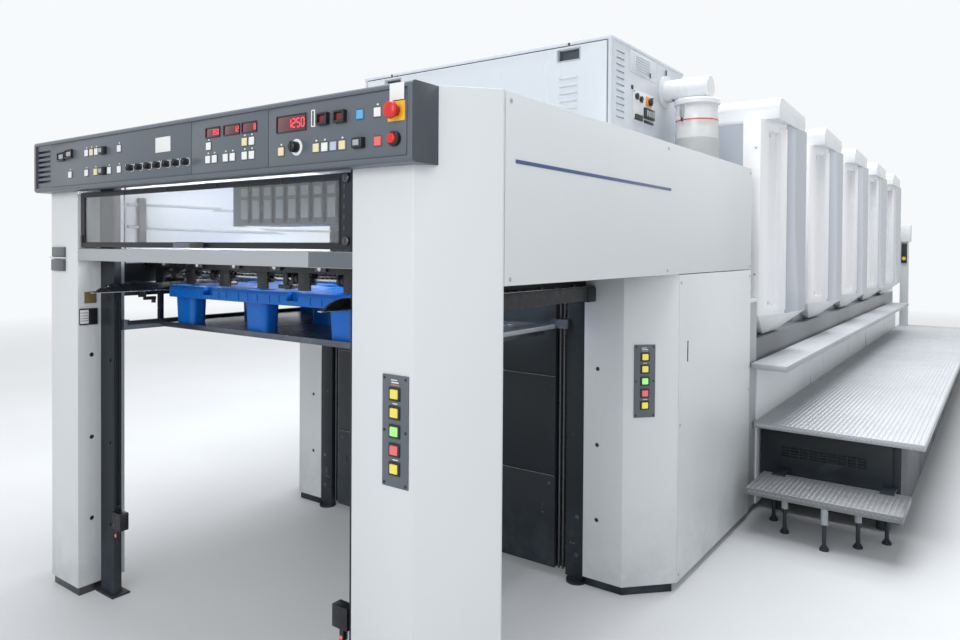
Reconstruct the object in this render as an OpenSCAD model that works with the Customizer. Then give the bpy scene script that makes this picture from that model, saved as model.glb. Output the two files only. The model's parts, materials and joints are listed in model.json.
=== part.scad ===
// Five-unit sheet-fed offset printing press, seen from its delivery end.
// X runs across the press, Y along it from the delivery to the feeder, Z up.
// Pieces are drawn with Y = 0 on the front columns' front face, and place() then
// brings the middle of the whole length to the origin.

/* [Delivery housing] */
// Width over the side panels
delivery_w = 2140; // [2060:10:2300]
// Length from the front columns to the end of the side panels
delivery_l = 2342; // [2200:2:2600]
// Height over the roof
delivery_h = 1713; // [1650:1:1800]
// Thickness of the side panels and side covers
panel_t = 30; // [20:1:36]
// Thickness of the roof plate
roof_t = 23; // [15:1:40]
// Height of the covers' lower edge above the floor
floor_gap = 33; // [20:1:60]
// Width of the seams between covers
seam = 3; // [2:1:6]

/* [Pile bay] */
// Clear width between the front columns
bay_w = 1440; // [1400:10:1500]
// Length of the side openings
bay_l = 1043; // [980:1:1100]
// Height of the side openings
opening_h = 1224; // [1200:1:1240]
// Height of the lower edge of the crossbar
crossbar_z = 1263; // [1255:1:1275]
// Height of the crossbar's section
crossbar_h = 44; // [30:1:46]
// Depth of the crossbar's section
crossbar_d = 60; // [40:1:80]

/* [Columns] */
// Depth of a front column
column_d = 179; // [160:1:220]
// Width of a front column's flat face
column_face = 205; // [180:1:240]
// Depth of a front column's slanted corner
corner_d = 171; // [120:1:178]
// Width of the dark strip between the pile bay and a rear column's cover
rear_strip = 30; // [20:1:60]
// Width of a rear column's flat face
rear_face = 165; // [140:1:200]
// Depth of a rear column's slanted corner
rear_corner_d = 163; // [120:1:200]
// Diameter of the tooling holes in the columns
tooling_hole_d = 17; // [10:1:25]

/* [Posts and rails] */
// Width of a lift post
post_w = 95; // [70:1:110]
// Depth of a lift post
post_d = 30; // [24:1:60]
// Distance of the lift posts behind the front face
post_y = 86; // [80:1:110]
// Width of the rear lift posts
rear_post_w = 78; // [60:1:90]
// Width of the chain slot beside a rear lift post
chain_slot_w = 50; // [30:1:60]
// Width of a side rail
rail_w = 78; // [50:1:100]
// Height of a side rail
rail_h = 54; // [40:1:60]
// Height of a side rail's lower edge
rail_z = 1122; // [1100:1:1140]

/* [Console] */
// Reach of the console to the left of the middle
console_left = 953; // [935:1:965]
// Reach of the console to the right of the middle
console_right = 965; // [945:1:975]
// Height of the console
console_h = 191; // [180:1:192]
// How far the console stands in front of the columns
console_d = 50; // [35:1:80]
// Rim round the console's face plate
console_rim = 15; // [10:1:25]
// Depth of the sunk face plate
console_sink = 6; // [3:1:10]
// Height of the stop button over the face plate
stop_button_h = 34; // [25:1:45]
// Width of a square key on the face plate
key_w = 24; // [18:1:26]
// Distance between two of the small knobs
knob_pitch = 50; // [36:1:52]
// Number of air slots in the console's left end
vent_count = 7; // [3:1:7]

/* [Window guard] */
// Clearance between the guard and what stands round it
guard_gap = 6; // [5:1:10]
// Thickness of the guard's frame
guard_t = 10; // [8:1:16]
// Distance of the guard behind the front face
guard_y = 10; // [8:1:20]
// Width of the guard frame's right member
guard_stile_r = 50; // [30:1:70]
// Width of the guard frame's left member
guard_stile_l = 25; // [15:1:50]
// Height of the guard frame's bottom and top members
guard_rail_h = 14; // [10:1:25]
// Thickness of the window pane
pane_t = 5; // [3:1:8]
// Width of the guard's handle
handle_w = 150; // [100:1:200]

/* [Pile] */
// Half width of the pile board
board_half_w = 610; // [590:1:620]
// Distance of the board's front edge behind the front face
board_y = 282; // [260:1:320]
// Length of the pile board
board_l = 880; // [820:1:890]
// Thickness of the pile board
board_t = 20; // [15:1:40]
// Height of the board's top when raised
board_top_z = 1021; // [990:1:1022]
// Width of a lift arm
arm_w = 24; // [16:1:40]
// Running clearance between lift arm and lift post
shoe_gap = 0.3; // [0.2:0.1:1]
// Number of sheet stops over the pile
stop_count = 7; // [4:1:9]

/* [Pallet] */
// Width of the pallet
pallet_w = 1040; // [1000:10:1050]
// Length of the pallet
pallet_l = 742; // [700:1:800]
// How far the pallet lies to the left of the middle
pallet_off = 68; // [0:1:70]
// Height of the pallet
pallet_h = 146; // [120:1:146]
// Height of the pallet's rim
pallet_rim_h = 44; // [25:1:50]
// Width of a leg at its foot
leg_w = 110; // [90:1:140]
// Depth of a leg at its foot
leg_d = 64; // [50:1:90]
// Share by which a leg is wider at its top
leg_flare = 1.14; // [1:0.01:1.2]
// Distance between the legs' middles across the pallet
leg_pitch = 435; // [400:1:445]
// Distance between the legs' middles along the pallet
leg_row_pitch = 307; // [290:1:320]
// Wall of the pallet's hollow legs and rim
pallet_wall = 6; // [4:1:10]

/* [Top cabinet] */
// Width of the cabinet on the roof
cabinet_w = 1440; // [1300:10:1500]
// Length of the cabinet
cabinet_l = 830; // [700:10:860]
// Height of the cabinet
cabinet_h = 509; // [450:1:560]
// Distance of the cabinet's front behind the front face
cabinet_y = 1500; // [1450:10:1500]
// Diameter of the filter canister
canister_d = 200; // [160:1:240]
// Height of the filter canister
canister_h = 290; // [250:1:320]
// Diameter of the air tube
tube_d = 105; // [80:1:120]
// Height of the canister's lid
lid_h = 24; // [15:1:40]
// Number of air slots in the cabinet's right side
louvre_count = 11; // [6:1:12]
// How far the cabinet's doors stand proud
door_t = 4; // [2:1:8]

/* [Printing units] */
// Distance between two printing units
unit_pitch = 1122; // [1080:1:1200]
// Gap between the delivery and the first unit
first_gap = 139; // [100:1:200]
// Length of a unit's tower
tower_l = 620; // [560:1:680]
// How far the towers stand in from the side panels
tower_inset = 85; // [60:1:110]
// Height of the towers
tower_h = 1960; // [1900:1:2050]
// Height of the hood on each tower
hood_h = 130; // [100:1:150]
// How far the hoods stand out of the towers on each side
hood_out = 165; // [100:1:180]
// How far a guard stands out of its tower at the front
guard_out_front = 86; // [70:1:100]
// How far a guard stands out of its tower at the back
guard_out_back = 180; // [150:1:200]
// Height of the guards' lower edge
guard_z = 985; // [950:1:1020]
// Height of the slanted strip under each guard
guard_bevel_h = 118; // [90:1:120]
// Depth of the channel sunk in each guard
channel_d = 26; // [12:1:34]
// Width of the channel
channel_w = 120; // [90:1:125]
// Height of the curved covers between two towers
cylinder_guard_h = 105; // [60:1:120]
// Height of the base under the towers
base_h = 860; // [800:1:875]

/* [Walkways] */
// Height of the upper walkway
upper_walk_z = 761; // [720:1:790]
// Width of the upper walkway
upper_walk_w = 170; // [140:1:220]
// Length of the upper walkway
upper_walk_l = 5300; // [4800:10:5600]
// Height of the lower walkway
lower_walk_z = 462; // [430:1:500]
// Width of the lower walkway
lower_walk_w = 736; // [650:1:800]
// Length of the lower walkway
lower_walk_l = 6040; // [5600:10:6400]
// Thickness of the walkways' plates
walk_t = 28; // [20:1:40]
// Height of the step
step_z = 222; // [180:1:260]
// Depth of the step
step_d = 318; // [280:1:380]
// Width of the step
step_w = 637; // [560:1:680]
// Thickness of the step's plate
step_t = 32; // [25:1:40]
// Columns of slots in the grille of a walkway's box
grille_columns = 9; // [4:1:12]
// Rows of slots in the grille
grille_rows = 4; // [2:1:6]

/* [Feeder] */
// Length of the feed table section
feed_l = 1180; // [1100:10:1300]
// Length of the feeder's pile bay
feeder_bay_l = 1020; // [960:10:1100]
// Width of the feeder over its side frames
feeder_w = 1560; // [1480:10:1640]
// Height of the feeder
feeder_h = 1640; // [1560:10:1720]
// Number of conveyor tapes on the feed table
tape_count = 6; // [4:1:8]

/* [Hidden] */
$fn = 48;
units = 5;
half_w = delivery_w / 2;
bay_half = bay_w / 2;
rear_y = column_d + bay_l;
post_in = bay_half - post_w;
rear_post_in = bay_half + rear_strip - rear_post_w;
rear_wall_half = rear_post_in - chain_slot_w;
rear_wall_t = 30;
rear_seams = [407, 808];
roof_z = delivery_h - roof_t;
guard_pin_r = 3;
guard_pin_l = 22;
crossbar_top = crossbar_z + crossbar_h;
console_z = delivery_h - 3 - console_h;
console_face_y = -console_d + console_sink;
column_edge = bay_half + column_face;
column_slant = corner_d / (half_w - column_edge);
guard_half = bay_half - guard_gap;
guard_low = crossbar_top + guard_gap;
guard_high = console_z - guard_gap;
guard_axis_y = guard_y + guard_t / 2;
guard_axis_z = guard_high - guard_rail_h / 2;
front_y = console_face_y - stop_button_h;
cover_y = rear_y + rear_corner_d + seam;
cover_top = opening_h - seam;
core_half = half_w - panel_t;
side_frame_t = 36;
beam_d = 80;
tower_w = delivery_w - 2 * tower_inset;
unit_y = delivery_l + first_gap;
units_end = unit_y + units * unit_pitch;
feeder_frame_t = 50;
feeder_post = [90, 110];
feeder_end = units_end + feed_l + feeder_bay_l + feeder_post.y;
post_pad_r = 41;
body_grey = [0.84, 0.85, 0.84];
cover_white = [0.93, 0.94, 0.94];
charcoal = [0.24, 0.26, 0.28];
console_grey = [0.38, 0.40, 0.43];
steel_grey = [0.55, 0.57, 0.58];
plate_silver = [0.66, 0.67, 0.67];
black = [0.08, 0.08, 0.09];
signal_red = [0.78, 0.12, 0.10];
signal_yellow = [0.95, 0.75, 0.12];
label_white = [0.95, 0.95, 0.93];

// Shared helpers

// Brings the middle of the press to the origin
module place() translate([0, -(front_y + feeder_end) / 2, 0]) children();

// The same piece on the left side
module left() mirror([1, 0, 0]) children();

module both() {
    children();
    left() children();
}

// A box from its lowest to its highest corner
module block(low, high) translate(low) cube(high - low);

// Rectangle with round corners, its middle at the origin
module round_rect(w, h, r) {
    square([w - 2 * r, h], center = true);
    square([w, h - 2 * r], center = true);
    for (x = [-1, 1], y = [-1, 1])
        translate([x * (w / 2 - r), y * (h / 2 - r)]) circle(r);
}

// A profile in the Y-Z plane, extruded along X
module along_x(x0, x1) translate([x0, 0, 0]) rotate([90, 0, 90]) linear_extrude(x1 - x0) children();

// Rod along X between two ends, at a place in the Y-Z plane
module rod_x(x0, x1, y, z, d)
    translate([x0, y, z]) rotate([0, 90, 0]) cylinder(d = d, h = x1 - x0);

// Turned head with a round edge
module round_head(d, h, r) rotate_extrude() {
    square([d / 2 - r, h]);
    square([d / 2, h - r]);
    translate([d / 2 - r, h - r]) circle(r);
}

// Plan of a corner column: flat face, slanted outer corner, square back
module column_plan(inner, face, corner, depth)
    polygon([[inner, 0], [inner + face, 0], [half_w, corner], [half_w, depth], [inner, depth]]);

// Plinth under a corner column, set back a little from its cover
module column_foot(inner, face, depth) linear_extrude(floor_gap)
    polygon([[inner + foot_in, foot_in], [inner + face - foot_in / 2, foot_in],
        [half_w - 2 * foot_in, depth - foot_in], [inner + foot_in, depth - foot_in]]);

// Delivery columns

tooling_z = [285, 594, 906];
rear_tooling_z = [268, 560, 855];
foot_in = 8;

module front_column() {
    color(steel_grey)
        rod_x(bay_half - guard_pin_l, bay_half, guard_axis_y, guard_axis_z, 2 * guard_pin_r);
    color(body_grey) difference() {
        union() {
            translate([0, 0, floor_gap])
                linear_extrude(delivery_h - floor_gap)
                    column_plan(bay_half, column_face, corner_d, column_d);
            column_foot(bay_half, column_face, column_d);
        }
        for (z = tooling_z)
            translate([bay_half - 1, 52, z]) rotate([0, 90, 0]) cylinder(d = tooling_hole_d, h = 21);
    }
}

module rear_column() {
    color(body_grey) translate([0, rear_y, 0]) difference() {
        union() {
            translate([0, 0, floor_gap])
                linear_extrude(opening_h - floor_gap)
                    column_plan(bay_half + rear_strip, rear_face, rear_corner_d, rear_corner_d);
            column_foot(bay_half + rear_strip, rear_face, rear_corner_d);
        }
        for (z = rear_tooling_z)
            translate([bay_half + rear_strip + 58, -1, z]) rotate([-90, 0, 0])
                cylinder(d = tooling_hole_d, h = 21);
    }
}

module front_posts() color(charcoal) both() {
    difference() {
        block([post_in, post_y, 8], [bay_half, post_y + post_d, roof_z]);
        block([post_in - 1, post_y + 9, 340], [post_in + 9, post_y + post_d - 8, guide_low - 40]);
        for (z = tooling_z) translate([post_in + 24, post_y - 1, z - 20]) rotate([-90, 0, 0])
            cylinder(d = 12, h = 9);
    }
    block([post_in - 25, post_y - 20, 0], [bay_half, post_y + post_d + 20, 8]);
}

sensor_z = 258;
sensor_h = 64;

module sensor_boxes() color(black) both()
    block([post_in - 60, post_y - 8, sensor_z], [post_in, post_y + post_d - 5, sensor_z + sensor_h]);

module rear_posts() color(charcoal) both() {
    block([rear_post_in, rear_y + 2, 20], [bay_half + rear_strip, rear_y + rear_wall_t, opening_h - 4]);
    translate([bay_half + rear_strip - post_pad_r + 6, rear_y + rear_wall_t / 2, 0])
        cylinder(r = post_pad_r, h = 10);
    block([rear_post_in + 8, rear_y + 4, 10], [bay_half + rear_strip - 8, rear_y + rear_wall_t - 2, 20]);
}

// Three dark panels that close the pile bay at its back, on one backing sheet
module rear_wall() color(charcoal) {
    edges = [floor_gap, rear_seams[0], rear_seams[1], opening_h];
    backing_t = 4;
    for (i = [0:2])
        block([-rear_wall_half, rear_y, edges[i]],
            [rear_wall_half, rear_y + rear_wall_t - backing_t, edges[i + 1] - seam]);
    block([-rear_wall_half, rear_y + rear_wall_t - backing_t, floor_gap],
        [rear_wall_half, rear_y + rear_wall_t, opening_h]);
}

// Plates with five square push buttons, on the right columns
button_z = 868;
button_plate = [85, 277];
button_pitch = 46;
slant_button_in = 85;
slant_button_drop = 50;

module button_plate_solid() {
    color(charcoal) linear_extrude(4) round_rect(button_plate.x, button_plate.y, 5);
    for (i = [-2:2]) translate([0, i * button_pitch, 0]) {
        color(black) linear_extrude(7) round_rect(37, 34, 3);
        color(signal_yellow) linear_extrude(11) round_rect(28, 27, 2);
    }
}

module button_panels() {
    translate([bay_half + 0.75 * column_face, 0, button_z]) rotate([90, 0, 0]) button_plate_solid();
    slant_x = bay_half + rear_strip + rear_face;
    translate([slant_x, rear_y, button_z - slant_button_drop])
        rotate([0, 0, atan2(rear_corner_d, half_w - slant_x)])
            translate([slant_button_in, 0, 0]) rotate([90, 0, 0]) button_plate_solid();
}

// Front of the delivery

module crossbar() color(steel_grey)
    block([-bay_half, 0, crossbar_z], [bay_half, crossbar_d, crossbar_top]);

// Part of the console that wraps round a column's slanted corner
module console_end(reach) translate([0, 0, console_z]) linear_extrude(console_h)
    polygon([[column_edge, 0], [reach, 0], [reach, (reach - column_edge) * column_slant]]);

vent_w = 100;
vent_h = 9;
vent_margin = 20;

// Closed shell with a sunk front and air slots at its left end
module console() color(console_grey) {
    r = 12;
    vent_pitch = (console_h - 2 * console_rim - 2 * vent_margin - vent_h) / (vent_count - 1);
    difference() {
        along_x(-console_left, console_right) translate([-console_d, console_z]) {
            translate([0, r]) square([console_d, console_h - 2 * r]);
            translate([r, 0]) square([console_d - r, console_h]);
            for (z = [r, console_h - r]) translate([r, z]) circle(r);
        }
        block([-console_left + console_rim, -console_d - 1, console_z + console_rim],
            [console_right - console_rim, console_face_y, console_z + console_h - console_rim]);
        for (i = [0 : vent_count - 1])
            translate([-console_left + console_rim + 5, console_face_y - 1,
                console_z + console_rim + vent_margin + i * vent_pitch]) cube([vent_w, 17, vent_h]);
    }
    console_end(console_right);
    left() console_end(console_left);
}

// Places on the face plate: X from the press's middle, height over the console's lower edge
upper_row = 126;
middle_row = 95;
lower_row = 56;
plate_t = 2;
plate_edges = [-console_left + 130, 80, 442, console_right - console_rim - 4];
upper_keys = [-556, -521, -488, -336, 793, 852];
middle_keys = [169, 339, 371];
lower_keys = [-675, -556, -492, -401, -336, 166, 198, 251, 284, 339, 371, 497, 635, 667, 699, 731, 853];
displays = [[189, 134, 64, 25], [279, 134, 70, 25], [360, 134, 62, 25], [537, 128, 113, 40]];
switches = [[-739, 125], [-682, 131]];
black_blocks = [[-437, upper_row], [-437, lower_row], [792, lower_row]];
push_buttons = [665, 727];
stop_place = [913, 122];
run_place = [909, lower_row + 1];
selector_place = [560, lower_row + 7];
first_knob_x = -260;
knob_count = 7;

// Brings a shape to the face plate, its own Z outwards, rooted half way in the plate
module on_face(x, z) translate([x, console_face_y - plate_t / 2, console_z + z])
    rotate([90, 0, 0]) children();

module frame_of(w, h, rim, t) linear_extrude(t) difference() {
    round_rect(w, h, 2);
    square([w - 2 * rim, h - 2 * rim], center = true);
}

module small_knob() color(black) {
    cylinder(d = 27, h = 5);
    cylinder(d = 18, h = 21);
    linear_extrude(24) round_rect(5, 20, 2);
}

module face_keys() color(label_white) {
    for (x = upper_keys) on_face(x, upper_row) linear_extrude(4) round_rect(key_w, key_w, 2);
    for (x = middle_keys) on_face(x, middle_row) linear_extrude(4) round_rect(key_w, key_w, 2);
    for (x = lower_keys) on_face(x, lower_row) linear_extrude(4) round_rect(key_w, key_w, 2);
}

module stop_button() {
    color(signal_yellow) linear_extrude(3) round_rect(54, 47, 2);
    color(signal_red) {
        cylinder(d = 24, h = stop_button_h - 10);
        translate([0, 0, stop_button_h - plate_t / 2 - 15]) round_head(42, 15, 7);
    }
}

// Face plates of the console with their displays, keys, switches and knobs
module console_panel() {
    color(console_grey) for (i = [0:2])
        block([plate_edges[i] + 1, console_face_y - plate_t, console_z + console_rim + 2],
            [plate_edges[i + 1] - 1, console_face_y, console_z + console_h - console_rim - 2]);
    face_keys();
    color(black) {
        for (d = displays) on_face(d.x, d.y) frame_of(d[2] + 6, d[3] + 6, 4, 4);
        for (s = switches) on_face(s.x, s.y) {
            frame_of(52, 32, 5, 8);
            linear_extrude(6) square([30, 20], center = true);
        }
        for (b = black_blocks) on_face(b.x, b.y) linear_extrude(15) round_rect(38, 28, 2);
        for (x = push_buttons) on_face(x, upper_row) frame_of(38, 30, 6, 13);
        on_face(run_place.x, run_place.y) cylinder(d = 42, h = 14);
        on_face(selector_place.x, selector_place.y) {
            cylinder(d = 44, h = 3);
            cylinder(d = 28, h = 24);
        }
    }
    for (i = [0 : knob_count - 1]) on_face(first_knob_x + i * knob_pitch, lower_row) small_knob();
    color(signal_red) {
        for (x = push_buttons) on_face(x, upper_row) linear_extrude(10) square([28, 20], center = true);
        on_face(run_place.x, run_place.y) round_head(31, 21, 5);
    }
    on_face(stop_place.x, stop_place.y) stop_button();
}

// Window guard that swings up on two pins at its top edge

module guard_opening() {
    w = 2 * guard_half - guard_stile_l - guard_stile_r;
    h = guard_high - guard_low - 2 * guard_rail_h;
    translate([(guard_stile_l - guard_stile_r) / 2, (guard_low + guard_high) / 2]) round_rect(w, h, 12);
}

handle_x = -15;

module guard_frame() color(charcoal) {
    difference() {
        translate([0, guard_y + guard_t, 0]) rotate([90, 0, 0]) linear_extrude(guard_t) difference() {
            translate([-guard_half, guard_low]) square([2 * guard_half, guard_high - guard_low]);
            guard_opening();
        }
        both() translate([bay_half - guard_pin_l - 1, guard_axis_y, guard_axis_z]) rotate([0, 90, 0])
            cylinder(r = guard_pin_r + shoe_gap, h = guard_pin_l);
    }
    for (z = [guard_low + 22, guard_high - 13])
        translate([guard_half - guard_stile_r / 2, guard_y, z]) rotate([90, 0, 0]) cylinder(d = 24, h = 4);
    grip_h = 18;
    translate([handle_x, guard_y + 1, guard_low + 1 + grip_h / 2]) rotate([90, 0, 0]) {
        linear_extrude(6) round_rect(handle_w, grip_h, 4);
        linear_extrude(13) translate([-handle_w / 5, 0]) round_rect(0.6 * handle_w, grip_h - 4, 4);
    }
}

module guard_window() color([0.8, 0.9, 0.95, 0.35])
    translate([0, guard_y + (guard_t + pane_t) / 2, 0]) rotate([90, 0, 0])
        linear_extrude(pane_t) guard_opening();

module delivery_roof() color(body_grey) {
    translate([0, 0, roof_z]) linear_extrude(roof_t)
        polygon([[-bay_half, 0], [bay_half, 0], [bay_half, column_d + seam],
            [core_half, column_d + seam], [core_half, delivery_l],
            [-core_half, delivery_l], [-core_half, column_d + seam], [-bay_half, column_d + seam]]);
}

// Frames that carry the sheet conveyor above the pile bay, on each side
module side_frames() color(charcoal) both() {
    block([bay_half, column_d, rail_z + rail_h], [bay_half + side_frame_t, rear_y, opening_h]);
    block([bay_half, column_d, opening_h], [bay_half + side_frame_t, rear_y + rear_wall_t, roof_z]);
    block([bay_half + side_frame_t, column_d, opening_h - 4],
        [half_w - panel_t, rear_y, opening_h + 6]);
}

// Housing of the blowers behind the guard, carried by the right frame
housing_left = -123;
housing_y = 250;
housing_d = 190;
housing_z = 1392;
housing_h = 150;
fan_count = 3;
fan_d = 96;

module fan_housing() color(black) {
    housing_w = bay_half - housing_left;
    fan_pitch = housing_w / fan_count;
    difference() {
        translate([0, housing_y + housing_d, 0]) rotate([90, 0, 0]) linear_extrude(housing_d)
            translate([housing_left, housing_z]) {
                r = 32;
                translate([r, 0]) square([housing_w - r, housing_h]);
                square([2 * r, housing_h - r]);
                translate([r, housing_h - r]) circle(r);
            }
        for (i = [0 : fan_count - 1])
            translate([housing_left + (i + 0.5) * fan_pitch, housing_y + housing_d / 2, housing_z - 1])
                cylinder(d = fan_d, h = 31);
    }
    for (i = [0 : fan_count - 1])
        translate([housing_left + (i + 0.5) * fan_pitch, housing_y + housing_d / 2, housing_z]) {
            cylinder(d = 34, h = 31);
            for (a = [0 : 45 : 315]) rotate([0, 0, a]) translate([0, -1.5, 8]) cube([fan_d / 2 + 1, 3, 23]);
        }
}

// Beam over the pile with its rod, collars and sheet stops
stop_rod_y = 300;
stop_rod_z = 1212;
stop_w = 56;
stop_low = 1174;

module sheet_stop() {
    beam_low = crossbar_z - 30;
    block([-9, stop_rod_y - 16, stop_rod_z - 16], [9, stop_rod_y + 16, beam_low]);
    block([-stop_w / 2, stop_rod_y - 24, stop_low], [stop_w / 2, stop_rod_y - 16, beam_low]);
    for (x = [-22, 12]) rod_x(x, x + 10, stop_rod_y, stop_rod_z, 34);
}

module stop_bar() color(black) {
    first = -bay_half + beam_d;
    pitch = (bay_w - 2 * beam_d) / (stop_count - 1);
    block([-bay_half, stop_rod_y - beam_d / 2, crossbar_z - 30],
        [bay_half, stop_rod_y + beam_d / 2, crossbar_z + 20]);
    rod_x(-bay_half + 60, bay_half - 60, stop_rod_y, stop_rod_z, 16);
    for (i = [0 : stop_count - 1]) translate([first + i * pitch, 0, 0]) sheet_stop();
}

// Side guides with noses turned down at the front, each with a corner bar beside the pile board
guide_x = post_in - 25;
guide_low = 1148;
guide_h = 30;
guide_end = 1150;
flange_t = 4;
corner_bar = [12, 22];

module pile_guides() color(black) both() {
    along_x(guide_x, guide_x + 10)
        polygon([[8, guide_low], [guide_end, guide_low], [guide_end, guide_low + guide_h],
            [66, guide_low + guide_h], [38, guide_low + guide_h - 8], [14, guide_low + 8]]);
    block([guide_x + 4, -6, guide_low], [guide_x + 24, guide_end, guide_low + flange_t]);
    for (y = [stop_rod_y + 60, guide_end - 70])
        block([guide_x, y, guide_low + guide_h - 4], [bay_half, y + 24, guide_low + guide_h + 12]);
    translate([board_half_w + 9, board_y - 20, board_top_z + 6])
        cube([corner_bar.x, corner_bar.y, guide_low + flange_t - board_top_z - 6]);
}

// Side rails with darker clamps at their rear ends
module side_rails() both() {
    color(steel_grey) block([bay_half, column_d, rail_z], [bay_half + rail_w, rear_y - 8, rail_z + rail_h]);
    color(charcoal) block([bay_half + 10, rear_y - 70, rail_z - 6],
        [bay_half + rail_w + 5, rear_y - 8, rail_z + rail_h - 6]);
}

// Covers on the sides

module side_panel() color(body_grey)
    block([half_w - panel_t, column_d + seam, opening_h], [half_w, delivery_l, delivery_h]);

// Lift-off cover with a finger slot
slot_z = 877;
slot_h = 82;

module side_cover() color(body_grey) difference() {
    block([core_half, cover_y, floor_gap], [half_w, delivery_l, cover_top]);
    block([half_w - 12, cover_y + 88, slot_z], [half_w + 1, cover_y + 100, slot_z + slot_h]);
}

module delivery_core() color(steel_grey) {
    y0 = rear_y + rear_wall_t;
    y1 = rear_y + rear_corner_d;
    translate([0, 0, floor_gap]) linear_extrude(opening_h - floor_gap)
        polygon([for (p = [[1, bay_half + rear_strip, y0], [1, bay_half + rear_strip, y1], [1, core_half, y1],
            [1, core_half, delivery_l], [-1, core_half, delivery_l], [-1, core_half, y1],
            [-1, bay_half + rear_strip, y1], [-1, bay_half + rear_strip, y0]]) [p[0] * p[1], p[2]]]);
    block([-half_w + panel_t, y0, opening_h], [half_w - panel_t, delivery_l, roof_z]);
    block([-core_half + 80, y1, 0], [core_half - 80, delivery_l, floor_gap]);
}

// Pile that the lift carries

carrier_h = 22;
shoe_h = 36;

// Board on two carriers, with a lift arm along each side and a shoe before each lift post
module pile_board() color(charcoal) {
    z0 = board_top_z - board_t;
    y0 = post_y + post_d + shoe_gap;
    y1 = rear_y - shoe_gap;
    block([-board_half_w, board_y, z0], [board_half_w, board_y + board_l, board_top_z]);
    both() {
        x0 = board_half_w;
        block([x0 - 40, board_y + 200, z0 - carrier_h], [x0 - 6, board_y + board_l, z0]);
        block([x0, y0, z0], [x0 + arm_w, y1, board_top_z]);
        block([x0, y0, board_top_z - shoe_h / 2], [x0 + arm_w + 30, y0 + 22, board_top_z + shoe_h / 2]);
        block([x0, y1 - 30, board_top_z - shoe_h / 2], [rear_post_in + 20, y1, board_top_z + shoe_h / 2]);
    }
}

module leg(shrink) {
    w = leg_w - 2 * shrink;
    d = leg_d - 2 * shrink;
    r = leg_corner - shrink / 2;
    linear_extrude(pallet_h, scale = leg_flare) round_rect(w, d, r, $fn = 32);
}

leg_corner = 20;
pallet_over = 16;
lip = [8, 9];
notch_w = 60;
notch_d = 30;
notch_h = 28;
notch_share = 0.54;

module pallet() color([0.08, 0.38, 0.78]) {
    mid_y = board_y - pallet_over + pallet_l / 2;
    translate([-pallet_off, mid_y, board_top_z]) difference() {
        union() {
            translate([0, 0, pallet_h - pallet_rim_h]) linear_extrude(pallet_rim_h - lip[1])
                round_rect(pallet_w, pallet_l, 50);
            translate([0, 0, pallet_h - lip[1] - 1]) linear_extrude(lip[1] + 1)
                round_rect(pallet_w - 2 * lip[0], pallet_l - 2 * lip[0], 42);
            for (x = [-1:1], y = [-1:1]) translate([x * leg_pitch, y * leg_row_pitch, 0]) leg(0);
        }
        for (x = [-1:1], y = [-1:1])
            translate([x * leg_pitch, y * leg_row_pitch, pallet_wall]) leg(pallet_wall);
        for (x = [-1, 1], y = [-1, 1])
            translate([x * leg_pitch * notch_share - notch_w / 2,
                y * (pallet_l / 2 - notch_d / 2) - notch_d / 2, pallet_h - notch_h])
                cube([notch_w, notch_d, notch_h + 1]);
    }
}

// On the roof

// Cabinet with a lid, air slots in its right side and a recess behind each handle
cabinet_lid_h = 14;
louvre_w = 80;
louvre_h = 5;
louvre_in = 90;
louvre_top = 452;
louvre_pitch = 28;
handle_recess = [110, 20, 50];
handle_top = 478;

module top_cabinet() color(cover_white) translate([0, cabinet_y, delivery_h]) {
    half = cabinet_w / 2;
    difference() {
        block([-half, 0, 0], [half, cabinet_l, cabinet_h - cabinet_lid_h]);
        both() for (i = [0 : louvre_count - 1])
            translate([half - 6, louvre_in - louvre_w / 2, louvre_top - i * louvre_pitch])
                cube([7, louvre_w, louvre_h]);
        both() translate([half - 258, -1, handle_top - handle_recess.z]) cube(handle_recess);
    }
    block([-half - 3, -3, cabinet_h - cabinet_lid_h], [half + 3, cabinet_l + 3, cabinet_h]);
}

switch_plate = [232, 133];
switch_plate_z = 182;

// Front door with two handle openings and air slots, side door and switch plate
module cabinet_doors() translate([0, cabinet_y, delivery_h]) {
    half = cabinet_w / 2;
    door_margin = 20;
    color(cover_white) difference() {
        block([-half + door_margin, -door_t, 12], [half - door_margin, 0, cabinet_h - cabinet_lid_h - 6]);
        both() translate([half - 258, -door_t - 1, handle_top - handle_recess.z])
            cube([handle_recess.x, door_t + 2, handle_recess.z]);
        both() for (i = [0:4])
            translate([half - 247, -door_t - 1, 214 + i * 33]) cube([88, door_t - 1, louvre_h]);
    }
    color(cover_white) block([half, 224, 387], [half + door_t, 424, 468]);
    color(steel_grey) translate([half, 222, switch_plate_z]) cube([door_t, switch_plate.x, switch_plate.y]);
    color(black) {
        for (y = [255, 295]) block([half, y, 276], [half + 12, y + 24, 304]);
        block([half, 330, 200], [half + 14, 430, 258]);
        block([half, 245, 196], [half + 10, 300, 232]);
    }
    color([0.9, 0.5, 0.15]) translate([half, 390, 290]) rotate([0, 90, 0]) cylinder(d = 44, h = 16);
}

filter_x = (cabinet_w / 2 + core_half) / 2;
filter_y = cabinet_y + 596;
tube_seat = 0.5;
cap_lip = 3;

// Tube from the cabinet's side to above the canister, with a flange and an end cap
module air_tube() color(steel_grey)
    translate([cabinet_w / 2, filter_y, delivery_h + canister_h + lid_h + tube_seat + cap_lip + tube_d / 2])
        rotate([0, 90, 0]) {
            tube_l = filter_x - cabinet_w / 2 + tube_d / 2;
            cylinder(d = tube_d, h = tube_l);
            cylinder(d = tube_d + 50, h = 12);
            translate([0, 0, tube_l]) round_head(tube_d + 2 * cap_lip, 14, 6);
        }

clamp_angle = -112;

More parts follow.
